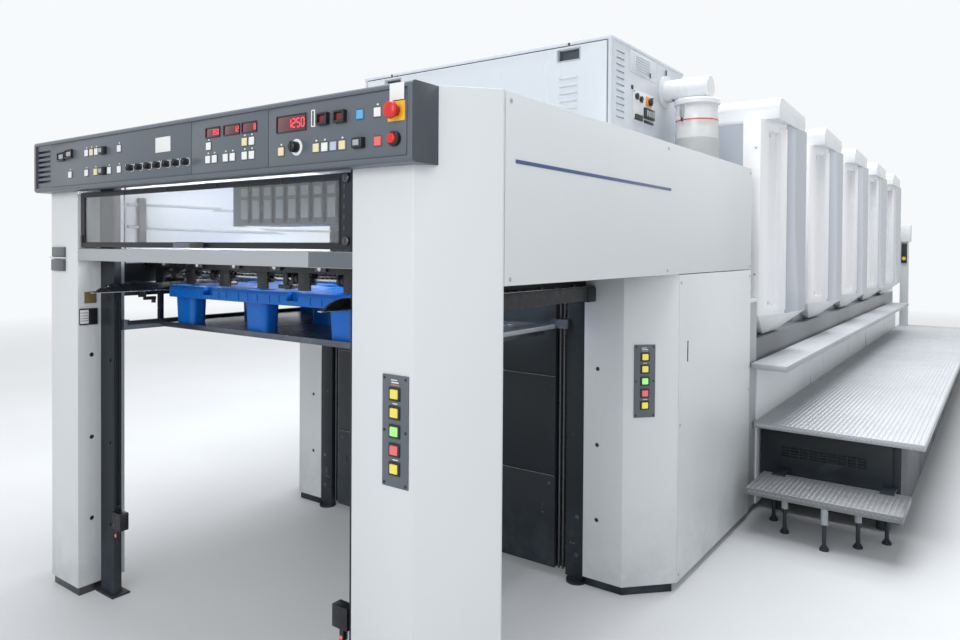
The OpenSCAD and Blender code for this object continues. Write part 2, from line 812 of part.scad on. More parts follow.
// Clear canister with a foot ring, a lid and a clamp
module filter_canister() color(cover_white) translate([filter_x, filter_y, delivery_h]) {
    cylinder(d = canister_d, h = canister_h);
    cylinder(d = canister_d + 14, h = 16);
    translate([0, 0, canister_h]) cylinder(d = canister_d + 12, h = lid_h);
    rotate([0, 0, clamp_angle]) {
        block([canister_d / 2 - 4, -16, canister_h - 70], [canister_d / 2 + 12, 16, canister_h + lid_h - 2]);
        block([canister_d / 2 - 4, -10, canister_h - 96], [canister_d / 2 + 6, 10, canister_h - 70]);
    }
}

// Printing units

module tower() color(body_grey)
    block([-tower_w / 2, 0, base_h], [tower_w / 2, tower_l, tower_h]);

module at_unit(i) translate([0, unit_y + i * unit_pitch, 0]) children();

// Side guard: slanted in plan, with a sunk channel beside a raised rib and slanted facets below
guard_back = 30;
guard_rise = 20;
knee_share = 0.46;
channel_in = 90;
channel_from = [44, 52];
rib_w = 60;
rib_out = 10;
rib_from = [20, 28];
facet = [35, 40];

module unit_guard() color(cover_white) {
    x0 = tower_w / 2;
    back = tower_l - guard_back;
    knee_y = knee_share * back;
    knee_out = guard_out_front + 0.64 * (guard_out_back - guard_out_front);
    plan = [[x0, 0], [x0 + guard_out_front, 0], [x0 + knee_out, knee_y],
        [x0 + guard_out_back, back], [x0, back]];
    turn = atan2(knee_y, knee_out - guard_out_front);
    top = tower_h + guard_rise;
    difference() {
        translate([0, 0, guard_z]) linear_extrude(top - guard_z) polygon(plan);
        translate([x0 + guard_out_front, 0, 0]) rotate([0, 0, turn])
            block([channel_in, -1, guard_z + channel_from[0]],
                [channel_in + channel_w, channel_d, top - channel_from[1]]);
    }
    translate([x0 + guard_out_front, 0, 0]) rotate([0, 0, turn])
        block([channel_in + channel_w, -rib_out, guard_z + rib_from[0]],
            [channel_in + channel_w + rib_w, 4, top - rib_from[1]]);
    hull() {
        translate([0, 0, guard_z - 1]) linear_extrude(1) polygon(plan);
        translate([0, 0, guard_z - guard_bevel_h]) linear_extrude(1)
            polygon([[x0, knee_y], [x0 + facet[0], knee_y], [x0 + facet[0], back - facet[1]],
                [x0, back - facet[1]]]);
    }
}

// Hood with a round front edge, set back from the tower's front
hood_y = 45;
hood_r = (hood_h - guard_rise) / 2;

module hood() {
    reach = tower_w / 2 + hood_out;
    rise = tower_h + hood_h;
    along_x(-reach, reach) {
        polygon([[hood_y, tower_h + guard_rise], [tower_l, tower_h + guard_rise], [tower_l, rise - 25],
            [hood_y + hood_r, rise], [hood_y + hood_r, rise - hood_r], [hood_y, rise - hood_r]]);
        translate([hood_y + hood_r, rise - hood_r]) circle(hood_r);
    }
    block([-tower_w / 2, 0, tower_h], [tower_w / 2, tower_l, tower_h + guard_rise]);
}

module hoods() color(cover_white) for (i = [0 : units - 1]) at_unit(i) hood();

// Curved covers over the cylinders, between each two towers
module cylinder_guards() color(steel_grey) for (i = [0 : units - 2]) at_unit(i) {
    y0 = tower_l + 15;
    gap = unit_pitch - tower_l - 30;
    along_x(-tower_w / 2 + 60, tower_w / 2 - 60) translate([y0, base_h]) intersection() {
        square([gap, cylinder_guard_h]);
        union() for (y = [gap / 4, 3 * gap / 4])
            translate([y, cylinder_guard_h - gap / 4 - 1]) circle(gap / 4);
    }
    along_x(-tower_w / 2 + 60, tower_w / 2 - 60) translate([y0, base_h])
        square([gap, max(10, cylinder_guard_h - gap / 4)]);
}

module press_base() color(steel_grey) {
    block([-half_w + panel_t, unit_y, floor_gap], [half_w - panel_t, units_end, base_h]);
    block([-half_w + 120, delivery_l, 0], [half_w - 120, units_end, floor_gap]);
}

link_box_h = 1076;
link_box_w = 196;
wall_panel_l = 1050;

// White walls under the upper walkways, with seams, and the boxes that link them to the delivery
module base_walls() both() {
    color(cover_white) difference() {
        block([half_w - panel_t, unit_y, floor_gap], [half_w, units_end, upper_walk_z - walk_t]);
        for (y = [unit_y + wall_panel_l : wall_panel_l : units_end - 200])
            translate([half_w - 2, y, lower_walk_z + 2])
                cube([3, seam, upper_walk_z - walk_t - lower_walk_z]);
    }
    color(steel_grey) {
        block([half_w - 4 - link_box_w, delivery_l, floor_gap], [half_w - 8, unit_y, link_box_h - 18]);
        block([half_w - 4 - link_box_w, delivery_l, link_box_h - 18], [half_w - 4, unit_y, link_box_h]);
    }
}

// Upper walkways on gusset plates
gusset_count = 6;
gusset_h = 110;
gusset_end = 200;
walk_start = 18;

module upper_walkways() both() {
    y0 = delivery_l + walk_start;
    color(plate_silver) block([half_w, y0, upper_walk_z - walk_t],
        [half_w + upper_walk_w, y0 + upper_walk_l, upper_walk_z]);
    color(charcoal) for (i = [0 : gusset_count - 1])
        translate([half_w, y0 + gusset_end + i * (upper_walk_l - 2 * gusset_end) / (gusset_count - 1),
            upper_walk_z - walk_t]) rotate([90, 0, 0]) linear_extrude(8)
                polygon([[0.5, -gusset_h], [14, -gusset_h], [upper_walk_w - 30, -16],
                    [upper_walk_w - 30, 1], [0.5, 1]]);
}

walk_y = delivery_l + 75;

module lower_walkways() color(plate_silver) both()
    block([half_w, walk_y, lower_walk_z - walk_t],
        [half_w + lower_walk_w, walk_y + lower_walk_l, lower_walk_z]);

box_y = walk_y + 105;

box_inset = 102;
box_low = 55;
box_slit_in = 36;
box_foot_d = 60;
grille_x = 100;
grille_top = 275;
slot = [36, 8];
slot_pitch = [43, 14];
side_seam_pitch = 880;

// Boxes under the lower walkways with a grille at the front and seams along the sides
module walkway_boxes() color(charcoal) both() {
    x1 = half_w + lower_walk_w - box_inset;
    y1 = walk_y + lower_walk_l - 60;
    difference() {
        block([half_w + 10, box_y, box_low], [x1, y1, lower_walk_z - walk_t]);
        for (i = [0 : grille_columns - 1], j = [0 : grille_rows - 1])
            translate([half_w + 10 + grille_x + i * slot_pitch.x, box_y - 1,
                box_low + grille_top - j * slot_pitch.y]) cube([slot.x, 13, slot.y]);
        block([x1 - box_slit_in, box_y - 1, box_low - 1], [x1 - box_slit_in + 5, box_y + 3, lower_walk_z]);
        for (y = [box_y + side_seam_pitch : side_seam_pitch : y1 - 200])
            block([x1 - 3, y, box_low - 1], [x1 + 1, y + 4, lower_walk_z]);
    }
    for (x = [half_w + 90, x1 - 80], y = [box_y + 70, y1 - 80])
        translate([x, y, 0]) cylinder(d = box_foot_d, h = box_low);
}

step_x = half_w + 47;
step_y = walk_y + 19 - step_d;

step_bracket = [60, 6];

module steps() both() {
    color(plate_silver) block([step_x, step_y, step_z - step_t], [step_x + step_w, step_y + step_d, step_z]);
    color(charcoal) for (x = [50, step_w - 122])
        block([step_x + x, step_y + step_d - 50, step_z],
            [step_x + x + step_bracket.x, box_y, step_z + step_bracket.y]);
}

step_leg_places = [[333, 32], [143, 140], [449, 150], [60, step_d - 40], [step_w - 90, step_d - 40]];

// Screw feet of the step, each with a thicker sleeve above
module step_legs() color(black) both()
    for (p = step_leg_places) translate([step_x + p.x, step_y + p.y, 0]) {
        cylinder(d = 18, h = step_z - step_t);
        cylinder(d = 40, h = 8);
        translate([0, 0, 8]) cylinder(d = 28, h = 10);
        translate([0, 0, step_z - step_t - 75]) cylinder(d = 30, h = 75);
    }

// Feeder

bay_y = units_end + feed_l;
feeder_beam_h = 120;
frame_front_z = 1100;
frame_slope_l = 330;

module feeder_frames() color(body_grey) both()
    along_x(feeder_w / 2 - feeder_frame_t, feeder_w / 2)
        polygon([[units_end, floor_gap], [bay_y, floor_gap], [bay_y, feeder_h - feeder_beam_h],
            [bay_y - frame_slope_l, feeder_h - feeder_beam_h], [units_end, frame_front_z]]);

module feeder_posts() color(body_grey) both()
    block([feeder_w / 2 - feeder_post.x, feeder_end - feeder_post.y, 0],
        [feeder_w / 2, feeder_end, feeder_h]);

module feeder_beams() color(body_grey) both()
    block([feeder_w / 2 - feeder_post.x, bay_y, feeder_h - feeder_beam_h],
        [feeder_w / 2, feeder_end - feeder_post.y, feeder_h]);

table_front_z = 1010;
table_back_z = 1200;
table_t = 40;
tape_w = 40;
tape_t = 4;

// Sloping feed table with its tapes and the rods of the hold-down wheels
module feed_table() {
    half = feeder_w / 2 - feeder_frame_t;
    y1 = bay_y - 40;
    color(steel_grey) along_x(-half, half)
        polygon([[units_end, table_front_z], [y1, table_back_z], [y1, table_back_z + table_t],
            [units_end, table_front_z + table_t]]);
    color(black) for (i = [0 : tape_count - 1])
        translate([-half + (i + 0.5) * 2 * half / tape_count - tape_w / 2, 0, 0]) along_x(0, tape_w)
            polygon([[units_end, table_front_z + table_t - 1], [y1, table_back_z + table_t - 1],
                [y1, table_back_z + table_t + tape_t], [units_end, table_front_z + table_t + tape_t]]);
}

head_w = 600;
head_low = 1330;
head_beam_h = 100;
sucker_d = 36;

// Feeder head: a beam across the feeder, the suction head under it and its suckers
module feeder_head() color(steel_grey) {
    beam_half = feeder_w / 2 - feeder_post.x;
    block([-beam_half, bay_y + 40, feeder_h - head_beam_h], [beam_half, bay_y + 180, feeder_h]);
    block([-head_w / 2, bay_y + 60, head_low + 50], [head_w / 2, bay_y + 160, feeder_h - head_beam_h]);
    for (x = [-1.5, -0.5, 0.5, 1.5]) translate([x * head_w / 4.5, bay_y + 110, head_low]) {
        cylinder(d = sucker_d, h = 12);
        translate([0, 0, 12]) cylinder(d = sucker_d / 2, h = 39);
    }
    rod_x(-head_w / 2 - 60, head_w / 2 + 60, bay_y + 110, head_low + 90, 30);
}

feeder_board_z = 130;
feeder_board_t = 40;

module feeder_board() color(charcoal) {
    half = feeder_w / 2;
    low = feeder_board_z - feeder_board_t;
    block([-half + 120, bay_y + 30, low], [half - 120, feeder_end - 130, feeder_board_z]);
    block([-half + 90, feeder_end - 220, low + 10], [half - 90, feeder_end - 130, feeder_board_z - 10]);
    both() block([half - 110, feeder_end - 150, low + 10], [half - 90, feeder_end - 60, 240]);
    for (x = [-560, 500]) block([x, bay_y + 40, 0], [x + 60, feeder_end - 140, low]);
}

// Operator's post beside the last tower, with a switch box and a hooded panel
post_x = half_w + 20;
post_y0 = units_end + 180;
control_post_w = 80;
control_post_h = 1610;

module control_post() {
    color(cover_white) {
        block([post_x, post_y0, lower_walk_z], [post_x + control_post_w, post_y0 + control_post_w, 1440]);
        block([post_x, post_y0 - 20, 1420],
            [post_x + control_post_w + 20, post_y0 + control_post_w + 20, control_post_h]);
    }
    color(black) block([post_x + 12, post_y0 - 28, 1180], [post_x + control_post_w - 12, post_y0, 1400]);
    color(signal_yellow) translate([post_x + control_post_w / 2, post_y0 - 28, 1230]) rotate([90, 0, 0])
        cylinder(d = 40, h = 14);
}

place() left() front_column();  // front_column_left
place() front_column();  // front_column_right
place() front_posts();
place() sensor_boxes();
place() button_panels();
place() crossbar();
place() console();
place() console_panel();
place() guard_frame();
place() guard_window();
place() delivery_roof();
place() side_frames();
place() fan_housing();
place() stop_bar();
place() pile_guides();
place() side_rails();
place() left() side_panel();  // side_panel_left
place() side_panel();  // side_panel_right
place() left() rear_column();  // rear_column_left
place() rear_column();  // rear_column_right
place() rear_posts();
place() rear_wall();
place() left() side_cover();  // side_cover_left
place() side_cover();  // side_cover_right
place() delivery_core();
place() pile_board();
place() pallet();
place() top_cabinet();
place() cabinet_doors();
place() air_tube();
place() filter_canister();
place() at_unit(0) tower();  // tower_1
place() at_unit(1) tower();  // tower_2
place() at_unit(2) tower();  // tower_3
place() at_unit(3) tower();  // tower_4
place() at_unit(4) tower();  // tower_5
place() cylinder_guards();
place() for (i = [0 : units - 1]) at_unit(i) unit_guard();  // guards_right
place() left() for (i = [0 : units - 1]) at_unit(i) unit_guard();  // guards_left
place() hoods();
place() press_base();
place() base_walls();
place() upper_walkways();
place() lower_walkways();
place() walkway_boxes();
place() steps();
place() step_legs();
place() feeder_frames();
place() feeder_posts();
place() feeder_beams();
place() feed_table();
place() feeder_head();
place() feeder_board();
place() control_post();
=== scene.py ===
"""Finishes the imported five-unit offset printing press: paint, controls, treads and a plain studio."""

import json
import math
from itertools import product

import bmesh
import bpy
from bpy.props import FloatProperty, FloatVectorProperty, IntProperty, PointerProperty
from mathutils import Euler, Matrix, Vector


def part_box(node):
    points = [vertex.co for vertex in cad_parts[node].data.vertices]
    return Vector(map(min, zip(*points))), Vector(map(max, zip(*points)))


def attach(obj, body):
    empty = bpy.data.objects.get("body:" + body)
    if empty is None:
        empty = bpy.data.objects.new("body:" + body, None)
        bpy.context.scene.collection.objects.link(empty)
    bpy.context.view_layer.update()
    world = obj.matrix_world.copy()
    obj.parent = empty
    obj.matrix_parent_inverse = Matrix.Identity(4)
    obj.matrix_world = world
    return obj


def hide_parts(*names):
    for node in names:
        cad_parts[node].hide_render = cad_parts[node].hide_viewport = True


bl_info = {
    "name": "Offset Press Finisher",
    "version": (1, 0, 0),
    "blender": (4, 5, 0),
    "location": "3D View > Sidebar > Press",
    "description": "Paints and details a five-unit offset printing press",
    "category": "Object",
}

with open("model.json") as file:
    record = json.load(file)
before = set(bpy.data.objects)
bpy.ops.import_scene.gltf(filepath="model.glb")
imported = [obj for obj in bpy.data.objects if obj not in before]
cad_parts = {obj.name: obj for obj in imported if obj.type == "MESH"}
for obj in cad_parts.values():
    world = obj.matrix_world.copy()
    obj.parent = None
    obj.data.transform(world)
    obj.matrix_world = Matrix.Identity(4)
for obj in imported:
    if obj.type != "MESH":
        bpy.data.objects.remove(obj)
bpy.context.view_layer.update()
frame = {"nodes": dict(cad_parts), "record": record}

MM = 0.001
FRONT_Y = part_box("crossbar")[0].y
SLOT_OF = {part["node"]: part["material_slot"] for part in frame["record"]["subparts"]}
BODY_OF = {node: body for body, nodes in frame["record"]["behaviour"]["bodies"].items() for node in nodes}
PAINTS = {}

SIDES = (-1, 1)
RIGHT, FORWARD, UP = (1, 0, 0), (0, -1, 0), (0, 0, 1)
# Turns a shape that is modelled upwards so that it looks forward.
FACING_FORWARD = Matrix(((1, 0, 0, 0), (0, 0, -1, 0), (0, 1, 0, 0), (0, 0, 0, 1)))

# The press in millimetres. COVER_X and BAY_X are half the widths over the covers and of the pile bay,
# and STOP_ROD is how far the sheet stops' rod lies behind the front and over the floor.
UNITS = 5
UNIT_PITCH = 1122
COVER_X = 1070
BAY_X = 720
STOP_ROD = (300, 1212)
PLATE_EDGE = 28


# Places and selections


def place(x, y, z):
    """A point in metres, from millimetres right of the middle, behind the front and over the floor."""
    return Vector((x * MM, FRONT_Y + y * MM, z * MM))


def press_mm(point):
    """The reverse of place: a point in metres as millimetres right, behind and over."""
    return Vector((point.x, point.y - FRONT_Y, point.z)) / MM


def low_of(node):
    """The low corner of a node's box, in press millimetres."""
    return press_mm(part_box(node)[0])


def high_of(node):
    """The high corner of a node's box, in press millimetres."""
    return press_mm(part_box(node)[1])


def grid(x=(0,), y=(0,), z=(0,)):
    """Offsets in millimetres: every mix of the given steps along X, Y and Z."""
    return list(product(x, y, z))


def select_only(*pieces):
    bpy.ops.object.select_all(action="DESELECT")
    for piece in pieces:
        piece.select_set(True)
    bpy.context.view_layer.objects.active = pieces[0]


def select_faces(piece, test):
    """In edit mode, selects just the faces that pass the test."""
    mesh = bmesh.from_edit_mesh(piece.data)
    for face in mesh.faces:
        face.select_set(False)
    for face in mesh.faces:
        if test(face):
            face.select_set(True)
    bmesh.update_edit_mesh(piece.data)


def add(primitive, **values):
    """Adds a primitive with nothing else selected."""
    bpy.ops.object.select_all(action="DESELECT")
    primitive(**values)
    return bpy.context.active_object


def apply_place(piece):
    select_only(piece)
    bpy.ops.object.transform_apply(location=True, rotation=True, scale=True)


def apply_modifier(piece, kind, **values):
    select_only(piece)
    modifier = piece.modifiers.new(kind.lower(), kind)
    for name, value in values.items():
        setattr(modifier, name, value)
    bpy.ops.object.modifier_apply(modifier=modifier.name)


def smooth(piece, angle=32):
    select_only(piece)
    bpy.ops.object.shade_smooth_by_angle(angle=math.radians(angle))


def soften(piece, edge, segments=2):
    """Rounds a piece's sharp edges by edge millimetres."""
    if edge:
        apply_modifier(piece, "BEVEL", width=edge * MM, segments=segments, limit_method="ANGLE")
        smooth(piece)


def join(name, pieces):
    """Makes one piece of several, named name."""
    select_only(*pieces)
    if len(pieces) > 1:
        bpy.ops.object.join()
    piece = bpy.context.view_layer.objects.active
    piece.name = name
    piece.data.name = name
    return piece


def duplicate(piece, change):
    """A copy of a piece with a mesh of its own, moved by a matrix."""
    twin = piece.copy()
    twin.data = piece.data.copy()
    bpy.context.scene.collection.objects.link(twin)
    twin.data.transform(change)
    return twin


def copies(piece, offsets):
    """A piece set out anew at each offset, in millimetres along X, Y and Z."""
    made = [duplicate(piece, Matrix.Translation(Vector(offset) * MM)) for offset in offsets]
    bpy.data.objects.remove(piece)
    return made


def copies_at(piece, spots):
    """Copies of a piece modelled round place(0, 0, 0): spots are (place, turn about Z in degrees)."""
    home = Matrix.Translation(-place(0, 0, 0))
    made = []
    for at, turn in spots:
        there = Matrix.Translation(place(*at)) @ Matrix.Rotation(math.radians(turn), 4, "Z")
        made.append(duplicate(piece, there @ home))
    bpy.data.objects.remove(piece)
    return made


def keep_faces(piece, test):
    """Deletes the faces whose middle, in press millimetres, fails the test, and closes the holes."""
    mesh = bmesh.new()
    mesh.from_mesh(piece.data)
    gone = [face for face in mesh.faces if not test(press_mm(face.calc_center_median()))]
    bmesh.ops.delete(mesh, geom=gone, context="FACES")
    bmesh.ops.holes_fill(mesh, edges=[line for line in mesh.edges if len(line.link_faces) == 1])
    mesh.to_mesh(piece.data)
    mesh.free()


def repaint(piece, material, test):
    """Gives another paint to the faces whose middle, in press millimetres, and normal pass the test."""
    piece.data.materials.append(PAINTS[material])
    index = len(piece.data.materials) - 1
    for face in piece.data.polygons:
        if test(press_mm(face.center), face.normal):
            face.material_index = index


def seat(piece, body, stands_for=None):
    """Sets a piece on its body and, where it is one, in a node's place."""
    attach(piece, body)
    if stands_for:
        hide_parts(stands_for)


# Shapes modelled as by hand


def bar(low, high, edge, segments=2):
    """A bar with soft edges between two corners, in press millimetres."""
    low, high = Vector(low), Vector(high)
    piece = add(bpy.ops.mesh.primitive_cube_add, size=1, location=place(*((low + high) / 2)))
    piece.scale = (high - low) * MM
    apply_place(piece)
    soften(piece, edge, segments)
    return piece


def turned(at, axis, steps, vertices):
    """A turned piece: steps are (distance along the axis, radius), in millimetres from its seat outwards."""
    start, radius = steps[0]
    piece = add(bpy.ops.mesh.primitive_circle_add, vertices=vertices, radius=radius * MM, fill_type="NGON",
                location=(0, 0, start * MM))
    apply_place(piece)
    bpy.ops.object.mode_set(mode="EDIT")
    bpy.ops.mesh.select_all(action="SELECT")
    for distance, wanted in steps[1:]:
        bpy.ops.mesh.extrude_region_move(TRANSFORM_OT_translate={"value": (0, 0, (distance - start) * MM)})
        if wanted != radius:
            share = wanted / radius
            bpy.ops.transform.resize(value=(share, share, 1), center_override=(0, 0, distance * MM))
        start, radius = distance, wanted
    bpy.ops.mesh.select_all(action="SELECT")
    bpy.ops.mesh.normals_make_consistent(inside=False)
    bpy.ops.object.mode_set(mode="OBJECT")
    turn = Vector(axis).to_track_quat("Z", "Y").to_matrix().to_4x4()
    piece.data.transform(Matrix.Translation(place(*at)) @ turn)
    smooth(piece, 30)
    return piece


def tile(at, size, height, edge, top=1.0):
    """A low block that faces forward: its foot's middle, its width and height, and how far it stands out."""
    piece = add(bpy.ops.mesh.primitive_cube_add, size=1, location=(0, 0, 0.5))
    apply_place(piece)
    if top != 1.0:
        bpy.ops.object.mode_set(mode="EDIT")
        select_faces(piece, lambda face: face.normal.z > 0.9)
        bpy.ops.transform.resize(value=(top, top, 1))
        bpy.ops.object.mode_set(mode="OBJECT")
    piece.scale = (size[0] * MM, size[1] * MM, height * MM)
    apply_place(piece)
    soften(piece, edge)
    piece.data.transform(Matrix.Translation(place(*at)) @ FACING_FORWARD)
    return piece


def soft_copy(node, edge):
    """A copy of a CAD node whose long sharp edges are rounded by edge millimetres."""
    sharp, shortest = 30, 28
    piece = bpy.data.objects.new(node + "_finish", frame["nodes"][node].data.copy())
    bpy.context.scene.collection.objects.link(piece)
    mesh = bmesh.new()
    mesh.from_mesh(piece.data)
    bmesh.ops.remove_doubles(mesh, verts=mesh.verts, dist=0.00001)
    bmesh.ops.dissolve_limit(mesh, angle_limit=math.radians(0.5), verts=mesh.verts, edges=mesh.edges)
    weight = mesh.edges.layers.float.new("bevel_weight_edge")
    for line in mesh.edges:
        if len(line.link_faces) == 2 and line.calc_face_angle(0) > math.radians(sharp):
            if line.calc_length() > shortest * MM:
                line[weight] = 1.0
    mesh.to_mesh(piece.data)
    mesh.free()
    if "custom_normal" in piece.data.attributes:
        piece.data.attributes.remove(piece.data.attributes["custom_normal"])
    apply_modifier(piece, "BEVEL", width=edge * MM, segments=2, limit_method="WEIGHT", use_clamp_overlap=True)
    smooth(piece)
    piece.data.materials.clear()
    return piece


class Fitter:
    """What the operators that add pieces share: their body and slot, and the way a piece is fitted."""

    body = "press"
    slot = "charcoal_metal"

    def fit(self, name, material, *pieces, slot=None, stands_for=None):
        """Joins pieces under a name, paints them and sets them on the body."""
        piece = join(name, pieces)
        piece.data.materials.append(PAINTS[material])
        seat(piece, self.body, stands_for)

    def fit_pair(self, name, material, *pieces):
        """Fits pieces together with their mirror images."""
        piece = join(name, pieces)
        twin = duplicate(piece, Matrix.Scale(-1, 4, RIGHT))
        twin.data.flip_normals()
        self.fit(name, material, piece, twin)


# Paints


def toned(colour, share):
    return tuple(share * part for part in colour)


class Recipe:
    """A material's node tree, built up step by step from Object coordinates."""

    def __init__(self, name, colour, roughness, metallic=0.0):
        self.material = bpy.data.materials.new(name)
        self.material.use_nodes = True
        self.tree = self.material.node_tree
        self.shader = self.tree.nodes["Principled BSDF"]
        self.put("Base Color", (*colour, 1))
        self.put("Roughness", roughness)
        self.put("Metallic", metallic)
        self.colour = colour
        self.roughness = roughness
        self.coords = self.tree.nodes.new("ShaderNodeTexCoord").outputs["Object"]
        self.tone = None
        self.height = None
        PAINTS[name] = self.material

    def put(self, socket, value):
        self.shader.inputs[socket].default_value = value

    def node(self, kind, **values):
        made = self.tree.nodes.new("ShaderNode" + kind)
        for name, value in values.items():
            setattr(made, name, value)
        return made

    def link(self, source, target):
        self.tree.links.new(source, target)

    def stretched(self, scale):
        mapping = self.node("Mapping")
        mapping.inputs["Scale"].default_value = scale
        self.link(self.coords, mapping.inputs["Vector"])
        return mapping.outputs["Vector"]

    def noise(self, scale, detail, roughness=0.55, coords=None):
        made = self.node("TexNoise")
        for name, value in (("Scale", scale), ("Detail", detail), ("Roughness", roughness)):
            made.inputs[name].default_value = value
        self.link(coords or self.coords, made.inputs["Vector"])
        return made.outputs["Fac"]

    def spread(self, source, low, high, start=0.0, end=1.0):
        made = self.node("MapRange")
        for name, value in (("From Min", low), ("From Max", high), ("To Min", start), ("To Max", end)):
            made.inputs[name].default_value = value
        self.link(source, made.inputs["Value"])
        return made.outputs["Result"]

    def product(self, first, second):
        """Two outputs, or an output and a number, multiplied."""
        made = self.node("Math", operation="MULTIPLY")
        for socket, value in zip(made.inputs, (first, second)):
            if isinstance(value, (int, float)):
                socket.default_value = value
            else:
                self.link(value, socket)
        return made.outputs["Value"]

    def blend_colour(self, factor, colour):
        """Lays a colour over what is there, as far as factor says."""
        made = self.node("Mix", data_type="RGBA")
        self.link(factor, made.inputs[0])
        if self.tone is None:
            made.inputs[6].default_value = (*self.colour, 1)
        else:
            self.link(self.tone, made.inputs[6])
        made.inputs[7].default_value = (*colour, 1)
        self.tone = made.outputs[2]
        self.link(self.tone, self.shader.inputs["Base Color"])

    def stain(self, source, low, high, amount, colour):
        """Lays a colour over the places where source passes from low to high."""
        self.blend_colour(self.spread(source, low, high, 0.0, amount), colour)

    def vary_roughness(self, source, low, high, spread):
        self.link(self.spread(source, low, high, self.roughness - spread, self.roughness + spread),
                  self.shader.inputs["Roughness"])

    def bump(self, source, strength, distance):
        made = self.node("Bump")
        made.inputs["Strength"].default_value = strength
        made.inputs["Distance"].default_value = distance
        self.link(source, made.inputs["Height"])
        if self.height is not None:
            self.link(self.height, made.inputs["Normal"])
        self.height = made.outputs["Normal"]
        self.link(self.height, self.shader.inputs["Normal"])

    def dust(self, colour, amount):
        """Grey dust and scuffs that thin out above the floor."""
        top = 0.35
        split = self.node("SeparateXYZ")
        self.link(self.coords, split.inputs["Vector"])
        rise = self.spread(split.outputs["Z"], 0.0, top, 1.0, 0.0)
        cloud = self.spread(self.noise(7.0, 6.0, 0.65), 0.38, 0.72)
        self.blend_colour(self.product(self.product(rise, cloud), amount), colour)


def satin_paint(name, colour, roughness, grain=520, depth=0.00012, dusty=0.5, streaks=0.1, dust_tone=0.45,
                patchy=0.03):
    """Powder-coated sheet: soft tone drift, orange peel, faint wipe marks and dust near the floor."""
    recipe = Recipe(name, colour, roughness)
    darker = toned(colour, 0.86)
    drift = recipe.noise(0.9, 4.0, 0.6, recipe.stretched((1.0, 1.0, 0.45)))
    recipe.stain(drift, 0.42, 0.78, 2.5 * streaks, darker)
    wipes = recipe.noise(5.0, 5.0, 0.7, recipe.stretched((1.0, 1.0, 0.18)))
    recipe.stain(wipes, 0.55, 0.85, streaks, darker)
    if dusty:
        recipe.dust(toned(colour, dust_tone), dusty)
    recipe.vary_roughness(wipes, 0.35, 0.7, patchy)
    recipe.bump(recipe.noise(grain, 2.0), 0.35, depth)
    return recipe


COLOUR = {"subtype": "COLOR", "size": 3, "min": 0, "max": 1}


class PaintSettings(bpy.types.PropertyGroup):
    """Colours of the press, in linear light."""

    cover_grey: FloatVectorProperty(name="Cover grey", description="Paint of the delivery's covers",
                                    default=(0.66, 0.685, 0.70), **COLOUR)
    cover_white: FloatVectorProperty(name="Cover white", description="Paint of the hoods and base walls",
                                     default=(0.69, 0.715, 0.74), **COLOUR)
    charcoal: FloatVectorProperty(name="Charcoal", description="Paint of the posts and the pile bay's walls",
                                  default=(0.017, 0.022, 0.027), **COLOUR)
    console: FloatVectorProperty(name="Console grey", description="Paint of the console's shell",
                                 default=(0.100, 0.119, 0.143), **COLOUR)
    machine: FloatVectorProperty(name="Machine grey", description="Paint of the crossbar and feeder",
                                 default=(0.36, 0.39, 0.41), **COLOUR)
    tread: FloatVectorProperty(name="Tread metal", description="Bare aluminium of the walkways",
                               default=(0.36, 0.38, 0.40), **COLOUR)
    pallet: FloatVectorProperty(name="Pallet blue", description="Plastic of the pallet",
                                default=(0.001, 0.115, 0.47), **COLOUR)


